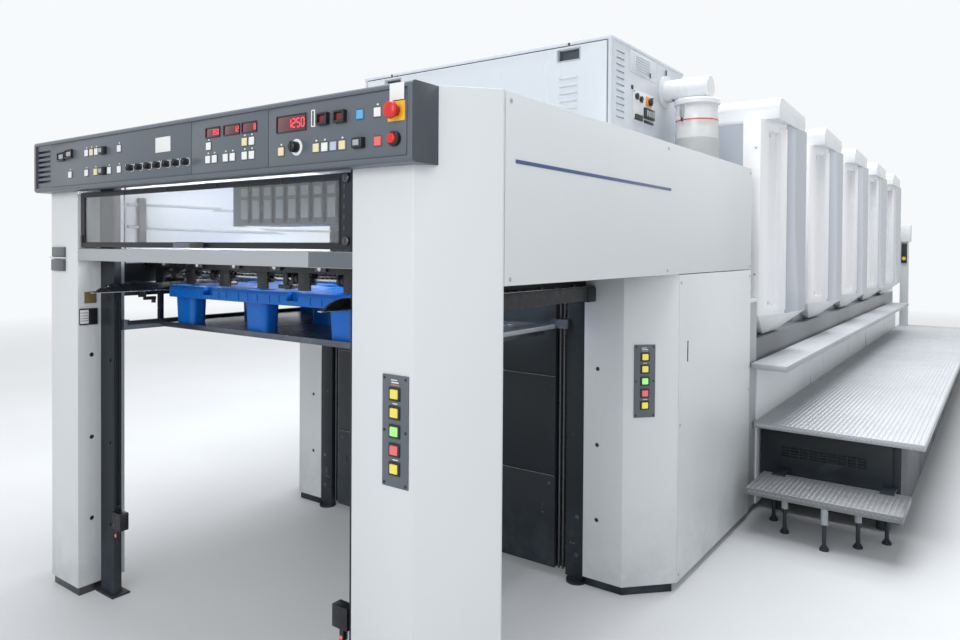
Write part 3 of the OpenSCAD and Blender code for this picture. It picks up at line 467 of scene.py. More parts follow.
class PRESS_OT_paints(bpy.types.Operator):
    """Mixes the press's paints, plastics and metals"""

    bl_idname = "press.paints"
    bl_label = "Paints"

    plain_finishes = (
        ("black_plastic", (0.012, 0.012, 0.014), 0.34), ("white_key", (0.80, 0.82, 0.82), 0.26),
        ("cream_key", (0.80, 0.70, 0.42), 0.26), ("blue_key", (0.10, 0.42, 0.72), 0.26),
        ("pink_key", (0.80, 0.16, 0.14), 0.26), ("lilac_key", (0.48, 0.52, 0.66), 0.26),
        ("signal_red", (0.62, 0.022, 0.018), 0.24), ("signal_yellow", (0.86, 0.50, 0.03), 0.32),
        ("orange_knob", (0.80, 0.26, 0.03), 0.30), ("bare_label", (0.78, 0.79, 0.79), 0.42),
        ("brown_plate", (0.16, 0.12, 0.05), 0.38), ("stripe_blue", (0.035, 0.075, 0.21), 0.34),
        ("rubber", (0.018, 0.018, 0.02), 0.62), ("filter_dust", (0.42, 0.44, 0.44), 0.62),
        ("well_blue", (0.045, 0.06, 0.08), 0.3), ("switch_grey", (0.10, 0.11, 0.12), 0.36),
        ("end_grey", (0.11, 0.125, 0.145), 0.36), ("dull_red", (0.13, 0.012, 0.012), 0.28))
    lit_finishes = (
        ("lit_yellow", (0.80, 0.68, 0.11), 0.7), ("lit_green", (0.38, 0.95, 0.24), 0.75),
        ("lit_red", (0.80, 0.16, 0.15), 0.62), ("digit_red", (1.0, 0.06, 0.08), 1.6))

    def execute(self, context):
        colours = context.scene.press_paint
        self.paints(colours)
        self.metals(colours)
        self.plastics(colours)
        self.clear_sheets()
        self.lights()
        return {"FINISHED"}

    def paints(self, colours):
        clean = {"depth": 0.00008, "dusty": 0.0, "streaks": 0.05}
        glossy = {"depth": 0.00004, "dusty": 0.0, "patchy": 0.01}
        satin_paint("cover_grey", colours.cover_grey, 0.40)
        satin_paint("cover_white", colours.cover_white, 0.30, **clean)
        dark = satin_paint("charcoal_metal", colours.charcoal, 0.42, dusty=0.7, dust_tone=4.0, patchy=0.06)
        dark.put("Specular IOR Level", 0.25)
        satin_paint("console_grey", colours.console, 0.34, grain=900, dusty=0.0)
        # A darker copy of the console's paint for its end faces: painted shade on the sides.
        satin_paint("console_end", (0.040, 0.051, 0.066), 0.46, grain=900, dusty=0.0)
        satin_paint("machine_grey", colours.machine, 0.38)
        satin_paint("tower_grey", (0.36, 0.40, 0.453), 0.3, dusty=0.0)
        satin_paint("cabinet_grey", (0.57, 0.61, 0.66), 0.3, **clean)
        # Dark grey for the band of the press base above the upper walkway: painted shade, as under the
        # guards.
        satin_paint("base_painted_shade", (0.16, 0.175, 0.19), 0.4)
        satin_paint("flange_white", (0.80, 0.81, 0.82), 0.3, streaks=0.02, **glossy)
        # The unit guards' wide faces: a glossy coat whose blue-grey is darkened as painted shade and painted
        # reflection.
        gloss = satin_paint("guard_shaded_gloss", (0.30, 0.35, 0.42), 0.2, streaks=0.04, **glossy)
        gloss.put("Coat Weight", 0.4)
        gloss.put("Coat Roughness", 0.08)

    def metals(self, colours):
        # The step plates are the tread metal at half its colour: painted shade.
        for name, share in (("tread", 1.0), ("step", 0.5)):
            colour = toned(colours.tread, share)
            plate = Recipe(name + "_plate", colour, 0.46, 0.3)
            scuffs = plate.noise(3.5, 7.0, 0.7)
            plate.stain(scuffs, 0.45, 0.8, 0.6, toned(colour, 0.82))
            plate.vary_roughness(scuffs, 0.35, 0.75, 0.14)
            plate.bump(plate.noise(300, 2.0), 0.3, 0.0001)
            worn = Recipe(name + "_worn", toned(colour, 1.3), 0.42, 0.4)
            worn.stain(worn.noise(3.5, 7.0, 0.7), 0.45, 0.8, 0.6, colour)
            worn.bump(worn.noise(300, 2.0), 0.3, 0.0001)
        steel = Recipe("bright_steel", (0.62, 0.63, 0.65), 0.24, 1.0)
        steel.vary_roughness(steel.noise(60, 4.0), 0.3, 0.7, 0.1)
        steel.bump(steel.noise(40, 2.0, 0.5, steel.stretched((1, 30, 30))), 0.15, 0.0001)
        cast = Recipe("dark_steel", (0.10, 0.105, 0.115), 0.36, 0.9)
        cast.vary_roughness(cast.noise(40, 4.0), 0.3, 0.7, 0.12)
        cast.bump(cast.noise(220, 3.0), 0.4, 0.0002)
        oiled = Recipe("oiled_black", (0.011, 0.012, 0.014), 0.3, 0.2)
        oiled.stain(oiled.noise(18, 5.0, 0.7), 0.55, 0.85, 0.5, (0.05, 0.05, 0.052))
        oiled.vary_roughness(oiled.noise(30, 4.0), 0.3, 0.7, 0.14)
        oiled.bump(oiled.noise(160, 3.0), 0.3, 0.0002)
        sheet = Recipe("board_steel", (0.10, 0.115, 0.14), 0.26, 0.7)
        wear = sheet.noise(5, 6.0, 0.7, sheet.stretched((1, 0.3, 1)))
        sheet.stain(wear, 0.5, 0.8, 0.6, (0.26, 0.28, 0.31))
        sheet.vary_roughness(wear, 0.35, 0.7, 0.1)
        sheet.bump(sheet.noise(90, 3.0), 0.2, 0.0002)

    def plastics(self, colours):
        blue = Recipe("blue_plastic", colours.pallet, 0.36)
        blue.put("Specular IOR Level", 0.3)
        marks = blue.noise(9.0, 7.0, 0.72)
        blue.stain(marks, 0.5, 0.8, 0.45, (0.012, 0.15, 0.47))
        blue.vary_roughness(marks, 0.35, 0.75, 0.12)
        blue.bump(blue.noise(420, 2.0), 0.35, 0.0002)
        for name, colour, roughness in self.plain_finishes:
            recipe = Recipe(name, colour, roughness)
            grain = recipe.noise(650, 2.0)
            recipe.stain(recipe.noise(30, 4.0), 0.4, 0.9, 0.3, toned(colour, 0.8))
            recipe.vary_roughness(grain, 0.3, 0.7, 0.05)
            recipe.bump(grain, 0.25, 0.00006)

    def clear_sheets(self):
        pane = Recipe("window_pane", (0.93, 0.96, 0.97), 0.03)
        pane.put("Transmission Weight", 0.97)
        pane.put("IOR", 1.45)
        smears = pane.noise(6.0, 6.0, 0.7, pane.stretched((1.0, 1.0, 3.0)))
        pane.link(pane.spread(smears, 0.45, 0.8, 0.02, 0.12), pane.shader.inputs["Roughness"])
        pane.bump(pane.noise(8.0, 2.0), 0.05, 0.0006)
        jar = Recipe("clear_jar", (0.90, 0.92, 0.92), 0.12)
        jar.put("Transmission Weight", 0.45)
        jar.bump(jar.noise(40.0, 2.0), 0.1, 0.0002)

    def lights(self):
        for name, colour, strength in self.lit_finishes:
            recipe = Recipe(name, toned(colour, 0.4), 0.2)
            recipe.put("Emission Color", (*colour, 1))
            recipe.put("Emission Strength", strength)
            recipe.bump(recipe.noise(200, 2.0), 0.1, 0.0001)
        screen = Recipe("dark_screen", (0.10, 0.006, 0.014), 0.08)
        screen.put("Coat Weight", 0.6)
        screen.bump(screen.noise(30, 1.0), 0.05, 0.0002)


# Covers and frames: soft-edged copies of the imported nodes


class PRESS_OT_covers(Fitter, bpy.types.Operator):
    """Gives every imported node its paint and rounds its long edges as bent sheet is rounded"""

    bl_idname = "press.covers"
    bl_label = "Covers and frames"

    made_elsewhere = ("console_panel", "button_panels", "filter_canister", "guard_window", "cabinet_doors",
                      "upper_walkways")
    # Widths of rounded edges in millimetres, for all nodes and for those that differ.
    usual_edge = 2.0
    edges = {"pallet": 6.0, "hoods": 6.0, "guards_right": 3.5, "guards_left": 3.5, "lower_walkways": 3.0,
             "steps": 3.0, "cylinder_guards": 3.0, "console": 2.5, "walkway_boxes": 1.2, "stop_bar": 1.2,
             "step_legs": 0.8}
    # The unit guards get a darker gloss that is painted shade and painted reflection on their wide faces.
    # press_base gets a dark grey that is painted shade.
    # steps get the half-tone tread metal, which is painted shade.
    own_paint = {"guards_right": "guard_shaded_gloss", "guards_left": "guard_shaded_gloss", "press_base": "base_painted_shade",
                 "top_cabinet": "cabinet_grey", "fan_housing": "end_grey", "pile_board": "board_steel",
                 "steps": "step_plate", "side_rails": "oiled_black", "stop_bar": "oiled_black",
                 "pile_guides": "oiled_black", "sensor_boxes": "oiled_black",
                 **{"tower_" + str(unit + 1): "tower_grey" for unit in range(UNITS)}}

    def execute(self, context):
        for node in frame["nodes"]:
            if node not in self.made_elsewhere:
                piece = soft_copy(node, self.edges.get(node, self.usual_edge))
                piece.data.materials.append(PAINTS[self.own_paint.get(node, SLOT_OF[node])])
                self.second_paint(node, piece)
                seat(piece, BODY_OF[node], node)
        self.upper_walkways()
        return {"FINISHED"}

    def upper_walkways(self):
        """The plates beside the units, without the hidden brackets that carry them."""
        low, high = low_of("upper_walkways"), high_of("upper_walkways")
        plates = []
        for side in SIDES:
            x0, x1 = sorted((side * COVER_X, side * high.x))
            plates.append(bar((x0, low.y, high.z - PLATE_EDGE), (x1, high.y, high.z), 3))
        self.fit("upper_walkways_finish", "tread_plate", *plates, slot="tread_plate",
                 stands_for="upper_walkways")

    def second_paint(self, node, piece):
        """Paints that part of a node which is of another stuff than the rest."""
        low, high = low_of(node), high_of(node)
        if node in ("guards_right", "guards_left"):
            # Flanges and level faces are white; the wide faces keep the darker gloss, which is painted shade
            # and reflection.
            flange = COVER_X + 66
            repaint(piece, "flange_white", lambda at, normal: abs(at.x) < flange or abs(normal.z) > 0.3)
        elif node == "side_rails":
            rear_end = high.y - 64
            repaint(piece, "charcoal_metal", lambda at, normal: at.y > rear_end)
        elif node == "steps":
            patches = high.z - 5
            repaint(piece, "charcoal_metal", lambda at, normal: at.z > patches)
        elif node == "base_walls":
            first_unit, ledge = low_of("tower_1").y - 1, high.z - 20
            repaint(piece, "machine_grey", lambda at, normal: at.y < first_unit and at.z < ledge)
        elif node == "console":
            # The console's end faces get the darker copy of its paint: painted shade.
            repaint(piece, "console_end", lambda at, normal: abs(normal.x) > 0.9)
        elif node.startswith("front_column"):
            foot = 32
            repaint(piece, "dark_steel", lambda at, normal: at.z < foot or abs(at.x) < BAY_X - 1)
        elif node.startswith("rear_column"):
            foot = 32
            repaint(piece, "charcoal_metal", lambda at, normal: at.z < foot)
        elif node == "feed_table":
            front_z, climb = 1052, 190
            repaint(piece, "rubber", lambda at, normal: normal.z > 0.5 and abs(normal.x) < 0.1
                    and at.z > front_z + (at.y - low.y) / (high.y - low.y) * climb)
        elif node == "control_post":
            box, lamp = (1179, 1401), (1205, 1255)
            repaint(piece, "black_plastic", lambda at, normal: box[0] < at.z < box[1] and at.y < low.y + 41)
            repaint(piece, "signal_yellow", lambda at, normal: lamp[0] < at.z < lamp[1] and at.y < low.y + 13)
        elif node == "stop_bar":
            (rod_y, rod_z), radius = STOP_ROD, 9
            repaint(piece, "bright_steel", lambda at, normal: abs(at.z - rod_z) < radius
                    and abs(at.y - rod_y) < radius and abs(normal.x) < 0.5)
        elif node == "delivery_core":
            # The core's front face, seen only through the chain slots, is painted black: painted shade in the
            # slots.
            front = low.y + 2
            repaint(piece, "oiled_black", lambda at, normal: at.y < front)
        elif node.startswith("side_cover"):
            slot_x, slot_z = (COVER_X - 29, COVER_X - 1), (700, 1190)
            repaint(piece, "oiled_black", lambda at, normal: slot_x[0] < abs(at.x) < slot_x[1]
                    and slot_z[0] < at.z < slot_z[1] and low.y + 20 < at.y < high.y - 20)
        elif node == "step_legs":
            sleeve = 120
            repaint(piece, "machine_grey", lambda at, normal: at.z > sleeve)


# Console


# Places on the console in press millimetres: keys are (right of the middle, row), and displays are
# (middle, size, digits). Segments of a numeral are (right, up) in half widths and half heights.
PLATE_SPLITS = (80, 442)
PLATE_HEIGHTS = (1536, 1693)
ROWS = {"upper": 1645, "middle": 1614, "lower": 1575}
WHITE_KEYS = [(-556, "upper"), (-488, "upper"), (-336, "upper"), (-675, "lower"), (-556, "lower"),
              (-401, "lower"), (-336, "lower"), (852, "upper"), (169, "middle"), (166, "lower"),
              (198, "lower"), (251, "lower"), (284, "lower"), (339, "lower"), (371, "lower"),
              (371, "middle"), (667, "lower")]
CREAM_KEYS = [(-521, "upper"), (-492, "lower"), (339, "middle"), (497, "lower"), (635, "lower"),
              (731, "lower")]
KEYS = (("white_keys", WHITE_KEYS, "white_key"), ("cream_keys", CREAM_KEYS, "cream_key"),
        ("blue_keys", [(793, "upper")], "blue_key"), ("lilac_keys", [(699, "lower")], "lilac_key"),
        ("red_keys", [(853, "lower")], "pink_key"))
DISPLAYS = [((189, 1653), (64, 25), "350"), ((279, 1653), (70, 25), "12"), ((360, 1653), (62, 25), "8"),
            ((537, 1647), (113, 40), "1250")]
DIGITS = {"0": "abcdef", "1": "bc", "2": "abged", "3": "abgcd", "5": "afgcd", "8": "abcdefg"}
LYING_SEGMENTS = {"a": (0, 1), "g": (0, 0), "d": (0, -1)}
STANDING_SEGMENTS = {"b": (1, 0.5), "c": (1, -0.5), "f": (-1, 0.5), "e": (-1, -0.5)}


class ConsoleSettings(bpy.types.PropertyGroup):
    """Sizes of the console's controls."""

    key: FloatProperty(name="Key", description="Width of a square key", default=0.023, min=0.015,
                       max=0.026, unit="LENGTH")
    key_rise: FloatProperty(name="Key rise", description="How far a key stands out of its plate",
                            default=0.004, min=0.001, max=0.01, unit="LENGTH")
    knobs: IntProperty(name="Knobs", description="Number of small knobs in the row", default=7, min=1, max=8)


class PRESS_OT_console(Fitter, bpy.types.Operator):
    """Fills the console's sunk front with face plates, keys, displays, switches and knobs"""

    bl_idname = "press.console"
    bl_label = "Console controls"

    slot = "console_grey"

    def execute(self, context):
        settings = context.scene.press_console
        # The plates lie between back and face, and a control starts at foot, a little inside its plate.
        self.back = high_of("console_panel").y
        self.face = self.back - 2
        self.foot = self.face + 0.5
        self.plates()
        self.keys(settings.key / MM, settings.key_rise / MM)
        self.labels()
        self.displays()
        self.switches()
        self.knobs(settings.knobs)
        self.selector()
        self.stop_buttons()
        return {"FINISHED"}

    def plates(self):
        edges = (low_of("console_panel").x, *PLATE_SPLITS, high_of("console_panel").x)
        bottom, top = PLATE_HEIGHTS
        plates = [bar((left + 1, self.face, bottom), (right - 1, self.back, top), 0.8)
                  for left, right in zip(edges, edges[1:])]
        self.fit("console_plates", "console_grey", *plates, stands_for="console_panel")

    def keys(self, size, rise):
        """Square keys in thin surrounds, with a plain mark over each."""
        surrounds = []
        for name, places, material in KEYS:
            key = tile((0, self.foot, 0), (size, size), rise, 1.2, top=0.94)
            surround = tile((0, self.foot, 0), (size + 4, size + 4), 1.4, 0.4)
            offsets = [(x, 0, ROWS[row]) for x, row in places]
            self.fit(name, material, *copies(key, offsets))
            surrounds += copies(surround, offsets)
        self.fit("key_surrounds", "dark_steel", *surrounds)
        marks = [tile((x, self.face + 0.2, ROWS[row] + size / 2 + 7), (6, 4), 0.5, 0)
                 for x, row in (*WHITE_KEYS, *CREAM_KEYS)]
        self.fit("key_marks", "bare_label", *marks)

    def labels(self):
        under = self.face + 0.3
        self.fit("bare_panel_label", "bare_label", tile((-74, under, 1638), (84, 47), 1.2, 0.3))
        self.fit("level_scale", "bare_label", tile((623, under, 1652), (15, 44), 1.2, 0.3))
        self.fit("level_slit", "black_plastic", tile((623, self.face - 0.8, 1652), (5, 38), 1.0, 0.2))

    def displays(self):
        screens, bezels, digits = [], [], []
        for (x, z), (width, height), text in DISPLAYS:
            screens.append(tile((x, self.face + 0.3, z), (width, height), 1.6, 0.4))
            bezels += self.bezel(x, z, width, height, 3.0, 3.4)
            digits += self.digits(x, z, width, height, text)
        self.fit("display_screens", "dark_screen", *screens)
        self.fit("display_bezels", "black_plastic", *bezels)
        self.fit("display_digits", "digit_red", *digits)

    def bezel(self, x, z, width, height, rim, rise):
        """Four bars round an opening of that width and height."""
        foot = self.face + 0.4
        lying = [tile((x, foot, z + side * (height + rim) / 2), (width + 2 * rim, rim), rise, 0.7)
                 for side in SIDES]
        standing = [tile((x + side * (width + rim) / 2, foot, z), (rim, height), rise, 0.7)
                    for side in SIDES]
        return lying + standing

    def digits(self, x, z, width, height, text):
        """Seven-segment numerals, right aligned in the display."""
        tall = 0.56 * height
        wide = 0.5 * tall
        step = 1.55 * wide
        thick = 0.13 * tall
        made = []
        for order, digit in enumerate(reversed(text)):
            centre = x + width / 2 - 0.9 * wide - order * step
            for segment in DIGITS[digit]:
                lying = segment in LYING_SEGMENTS
                right, up = LYING_SEGMENTS[segment] if lying else STANDING_SEGMENTS[segment]
                size = (0.8 * wide, thick) if lying else (thick, 0.42 * tall)
                at = (centre + right * wide / 2, self.face - 1.2, z + up * tall / 2)
                made.append(tile(at, size, 0.5, 0))
        return made

    def switches(self):
        """Two lit rockers, three turn switches with pale inlays and two framed push caps."""
        blocks, rockers, caps = [], [], []
        for x, z in ((-739, 1644), (-682, 1650)):
            blocks += self.bezel(x, z, 42, 22, 5, 8)
            rockers.append(tile((x, self.foot, z), (40, 20), 6, 1.5, top=0.8))
        for x, row in ((-437, "upper"), (-437, "lower"), (792, "lower")):
            blocks.append(tile((x, self.foot, ROWS[row]), (38, 28), 15, 2.5, top=0.9))
            rockers.append(tile((x, self.face - 14.3, ROWS[row]), (20, 14), 1.2, 0.4))
        for x in (665, 727):
            blocks += self.bezel(x, ROWS["upper"] + 1, 28, 20, 5.5, 13)
            caps.append(tile((x, self.foot, ROWS["upper"] + 1), (27, 19), 9, 1.5))
        self.fit("switch_blocks", "black_plastic", *blocks)
        self.fit("switch_rockers", "machine_grey", *rockers)
        self.fit("push_caps", "dull_red", *caps)

    def knobs(self, count):
        first_x, pitch = -254, 52.5
        at = (0, self.foot, 0)
        skirt = turned(at, FORWARD, [(0, 13.5), (1.5, 13.5), (3, 12.5)], 28)
        grip = turned(at, FORWARD, [(0, 11), (5, 10.5), (6, 9), (18, 8), (21, 7.2), (22, 5.5)], 28)
        wing = tile((0, self.face - 5, 0), (4.5, 21), 18, 1.5, top=0.9)
        mark = tile((0, self.face - 22.6, 6), (1.6, 7), 0.8, 0)
        offsets = [(first_x + pitch * number, 0, ROWS["lower"]) for number in range(count)]
        self.fit("knob_skirts", "bright_steel", *copies(skirt, offsets))
        self.fit("small_knobs", "black_plastic", *copies(join("knob", [grip, wing]), offsets))
        self.fit("knob_marks", "bare_label", *copies(mark, offsets))

    def selector(self):
        x, z = 560, 1582
        ring = turned((x, self.foot, z), FORWARD, [(0, 22), (2.5, 22), (3.2, 20.5)], 48)
        knob = turned((x, self.foot, z), FORWARD, [(0, 15), (16, 13.5), (22, 12.5), (24, 10)], 36)
        wing = tile((x, self.face - 6, z), (7, 30), 20, 2, top=0.9)
        self.fit("selector_ring", "bare_label", ring)
        self.fit("selector_knob", "black_plastic", knob, wing)

    def stop_buttons(self):
        stop, run = (913, self.foot, 1641), (909, self.foot, 1576)
        self.fit("stop_plate", "signal_yellow", tile(stop, (54, 47), 2.6, 0.6))
        reach = self.foot - low_of("console_panel").y
        profile = [(0, 13), (reach - 17, 12), (reach - 15, 19), (reach - 12, 21), (reach - 7, 21),
                   (reach - 3, 18), (reach - 1, 13), (reach - 0.2, 6)]
        self.fit("stop_head", "signal_red", turned(stop, FORWARD, profile, 48))
        label = tile((917, low_of("console").y + 0.4, 1686), (46, 40), 0.9, 0.3)
        self.fit("stop_label", "bare_label", label)
        ring = turned(run, FORWARD, [(0, 18), (10, 18), (13, 16), (13.4, 13.5), (11, 13)], 40)
        cap = turned(run, FORWARD, [(0, 12.5), (16, 12.5), (19, 11.5), (20, 8.5)], 40)
        self.fit("run_ring", "black_plastic", ring)
        self.fit("run_cap", "signal_red", cap)


# Push buttons


class ButtonSettings(bpy.types.PropertyGroup):
    """Sizes of the button plates."""

    pitch: FloatProperty(name="Pitch", description="Distance between two push buttons", default=0.046,
                         min=0.04, max=0.05, unit="LENGTH")
    cap: FloatProperty(name="Cap", description="Width of a lit cap", default=0.025, min=0.018, max=0.03,
                       unit="LENGTH")


class PRESS_OT_buttons(Fitter, bpy.types.Operator):
    """Sets a plate with five lit push buttons on each right-hand column"""

    bl_idname = "press.buttons"
    bl_label = "Button plates"

    slot = "console_grey"
    # The plate's size, and its two places in press millimetres with their turns in degrees.
    plate = (85, 277)
    spots = (((873.75, 0, 868), 0.0), ((973.6, 1283.6, 818), 46.44))
    caps = ("lit_yellow", "lit_yellow", "lit_green", "lit_red", "lit_yellow")

    def execute(self, context):
        settings = context.scene.press_button
        size = settings.cap / MM
        rows = [(2 - count) * (settings.pitch / MM) for count in range(len(self.caps))]
        plate = tile((0, 0.3, 0), self.plate, 4.3, 1.2)
        self.on_columns("button_plates", "console_grey", plate, stands_for="button_panels")
        ring = tile((0, -3.7, 0), (size + 11, size + 9), 4.2, 1.6)
        self.on_columns("button_rings", "black_plastic", *copies(ring, grid(z=rows)))
        for material in dict.fromkeys(self.caps):
            cap = tile((0, -5, 0), (size, size - 1), 6.5, 2.2, top=0.92)
            lit = [z for z, kind in zip(rows, self.caps) if kind == material]
            self.on_columns(material + "_caps", material, *copies(cap, grid(z=lit)))
        self.marks(rows)
        screw = turned((0, -3.9, 0), FORWARD, [(0, 3.8), (0.9, 3.8), (1.5, 2.6)], 14)
        self.on_columns("button_screws", "black_plastic", *copies(screw, grid((-35, 35), z=(-130, 0, 130))))
        return {"FINISHED"}

    def marks(self, rows):
        """Plain marks in place of the lettering, each at a height over its button."""
        marks = [tile((x, -3.8, rows[row] + over), size, 0.6, 0)
                 for x, row, over, size in ((0, 0, 28, (24, 3)), (-3, 0, 34, (20, 2.4)),
                                            (0, 1, 22, (16, 2.4)), (2, 4, 22, (18, 2.4)))]
        self.on_columns("button_marks", "bare_label", *marks)
        line = tile((0, -3.8, rows[0] + 22), (26, 1.8), 0.6, 0)
        self.on_columns("button_line", "orange_knob", line)

    def on_columns(self, name, material, *pieces, stands_for=None):
        """Fits pieces modelled round place(0, 0, 0) to both columns."""
        self.fit(name, material, *copies_at(join(name, pieces), self.spots), stands_for=stands_for)


# Window guard


class PRESS_OT_guard(Fitter, bpy.types.Operator):
    """Fits the pane, its gasket, the handle and the screws to the hinged window guard"""

    bl_idname = "press.guard"
    bl_label = "Window guard"

    body = "window_guard"
    face = 10

    def execute(self, context):
        self.fit("guard_window_finish", "window_pane", soft_copy("guard_window", 0.8), slot="window_pane",
                 stands_for="guard_window")
        self.gasket(low_of("guard_window"), high_of("guard_window"))
        face = self.face
        self.fit("guard_grip_grey", "end_grey", bar((-88, face - 14, 1314), (4, face, 1330), 2.5, 3))
        self.fit("guard_grip_black", "black_plastic", bar((4, face - 16, 1313), (79, face, 1331), 3, 3))
        knob = turned((0, face - 3.6, 0), FORWARD, [(0, 11.6), (2.5, 11.6), (3.6, 10), (3.8, 4)], 28)
        slot = tile((0, face - 7, 0), (3, 15), 1.1, 0.3)
        places = grid([689], z=(1335, 1500))
        self.fit("guard_knobs", "dark_steel", *copies(knob, places))
        self.fit("guard_knob_slots", "black_plastic", *copies(slot, places))
        catch = tile((0, face + 0.3, 0), (4, 12), 1.4, 0.4)
        self.fit("guard_catches", "dark_steel", *copies(catch, grid([680], z=(1478, 1452, 1426, 1398, 1370))))
        clip = bar((-3, face - 3, -8), (3, face + 1, 6), 0.8)
        self.fit("guard_clips", "black_plastic", *copies(clip, grid((-408, -147, 124, 430), z=[1504])))
        self.fit("guard_latch", "black_plastic", bar((-708, face - 5, 1328), (-696, face + 1, 1356), 1.5))
        return {"FINISHED"}

    def gasket(self, low, high):
        """Four strips over the pane's rim."""
        width, rise = 4, 1.6
        strips = [((low.x - 1, low.z - 1), (high.x + 1, low.z + width)),
                  ((low.x - 1, high.z - width), (high.x + 1, high.z + 1)),
                  ((low.x - 1, low.z), (low.x + width, high.z)),
                  ((high.x - width, low.z), (high.x + 1, high.z))]
        self.fit("guard_gasket", "rubber", *[
            bar((x0, self.face - rise, z0), (x1, self.face + 1, z1), 0.5) for (x0, z0), (x1, z1) in strips])


# Roof cabinet and filter


class PRESS_OT_cabinet(Fitter, bpy.types.Operator):
    """Dresses the roof cabinet with its doors, louvres, latches and switches"""

    bl_idname = "press.cabinet"
    bl_label = "Roof cabinet"

    slot = "cover_white"
    door_x = 517
    seam_x = 703.5
    doors_z = (1727, 2204)

    def execute(self, context):
        self.front = low_of("top_cabinet").y + 3
        self.side = high_of("top_cabinet").x - 3
        self.doors()
        self.louvres()
        self.hatch()
        self.switch_plate()
        self.switches()
        return {"FINISHED"}

    def doors(self):
        door = soft_copy("cabinet_doors", 1.2)
        keep_faces(door, lambda at: at.x < self.side - 5 and at.y < self.front + 1)
        self.fit("cabinet_doors_finish", "cabinet_grey", door, stands_for="cabinet_doors")
        y0, y1 = self.front - 0.7, self.front + 1
        bottom, top = self.doors_z
        seams = [bar((side * self.seam_x - 1.6, y0, bottom), (side * self.seam_x + 1.6, y1, top), 0.3)
                 for side in SIDES]
        seams.append(bar((-702, y0, top - 1), (702, y1, top + 3), 0.3))
        self.fit("cabinet_seams", "dark_steel", *seams)
        well = bar((-53, 14, -23), (53, 19, 23), 0.8)
        rim = [bar((-58, -5.2, z - 3), (58, -3, z + 3), 0.8) for z in (-26, 26)]
        rim += [bar((x - 3, -5.2, -26), (x + 3, -3, 26), 0.8) for x in (-56, 56)]
        middles = grid((-self.door_x, self.door_x), [self.front], [2166])
        self.fit("cabinet_wells", "well_blue", *copies(well, middles))
        self.fit("cabinet_well_rims", "machine_grey", *copies(join("rim", rim), middles))
        lock = turned((0, 0, 0), FORWARD, [(0, 5.5), (2.2, 5.5), (2.8, 4)], 20)
        locks = grid((519, -525), [self.front - 2.6], [2212])
        self.fit("cabinet_locks", "black_plastic", *copies(lock, locks))

    def louvres(self):
        hood = bar((-44, -7.5, 4.5), (44, -3.5, 12), 1.6)
        heights = [1927 + 33 * row for row in range(5)]
        rows = grid((-self.door_x, self.door_x), [self.front], heights)
        self.fit("cabinet_front_louvres", "cabinet_grey", *copies(hood, rows))
        hood = bar((-0.5, 1552, 4.5), (4, 1628, 10), 1.4)
        heights = [2165 - 28 * row for row in range(11)]
        self.fit("cabinet_side_louvres", "cabinet_grey", *copies(hood, grid([self.side], z=heights)))

    def hatch(self):
        side = self.side
        self.fit("cabinet_hatch", "cabinet_grey",
                 bar((side - 0.5, 1686, 2105), (side + 2, 1980, 2203), 0.8),
                 bar((side + 1.5, 1726, 2112), (side + 4.5, 1912, 2196), 1.2))
        slat = bar((side + 4, 1742, -1.5), (side + 6, 1896, 1.5), 0.5)
        self.fit("cabinet_hatch_slats", "machine_grey", *copies(slat, grid(z=range(2124, 2190, 12))))
        self.fit("cabinet_hatch_pull", "dark_steel", bar((side + 4, 1897, 2114), (side + 9, 1904, 2136), 1.2))

    def switch_plate(self):
        side = self.side
        self.fit("switch_plate", "cover_grey", bar((side - 0.5, 1722, 1893), (side + 3.5, 1954, 2036), 1.2))
        screw = turned((side + 3.3, 0, 0), RIGHT, [(0, 4), (1, 4), (1.6, 2.8)], 14)
        self.fit("switch_plate_screws", "dark_steel", *copies(screw, grid(y=(1731, 1945), z=(1902, 2027))))

    def switches(self):
        side = self.side
        base = turned((side + 3, 0, 0), RIGHT, [(0, 13), (3, 13), (5, 10), (12, 9)], 24)
        lever = bar((side + 8, -5, -18), (side + 15, 5, 12), 2)
        self.fit("cabinet_switches", "black_plastic",
                 *copies(join("lever", [base, lever]), [(0, 1750, 2006), (0, 1798, 2000)]),
                 bar((side + 3, 1834, 1918), (side + 15, 1940, 1968), 2),
                 bar((side + 3, 1737, 1899), (side + 12, 1812, 1925), 2),
                 bar((side + 3, 1836, 1898), (side + 9, 1938, 1911), 1.5),
                 turned((side - 0.5, 1711, 2040), RIGHT, [(0, 10), (4, 10), (5, 8)], 24))
        toggle = bar((side + 14, -6, -14), (side + 18, 6, 14), 1.5)
        self.fit("cabinet_toggles", "machine_grey",
                 *copies(toggle, grid(y=(1852, 1875, 1898, 1921), z=[1943])))
        self.fit("orange_plate", "orange_knob", bar((side + 3, 1856, 1980), (side + 6, 1926, 2024), 1.2))
        self.fit("main_switch", "black_plastic",
                 turned((side + 5, 1898, 2002), RIGHT, [(0, 17), (5, 17), (8, 13), (14, 12)], 28),
                 bar((side + 12, 1893, 1984), (side + 20, 1903, 2020), 2.2))
        self.fit("cabinet_pipe", "dark_steel",
                 turned((side + 5, 2098, 2064), UP, [(0, 3.6), (126, 3.6)], 14),
                 turned((side + 5, 2098, 2066), (52, -30, -34), [(-2, 3.6), (66, 3.6)], 14))


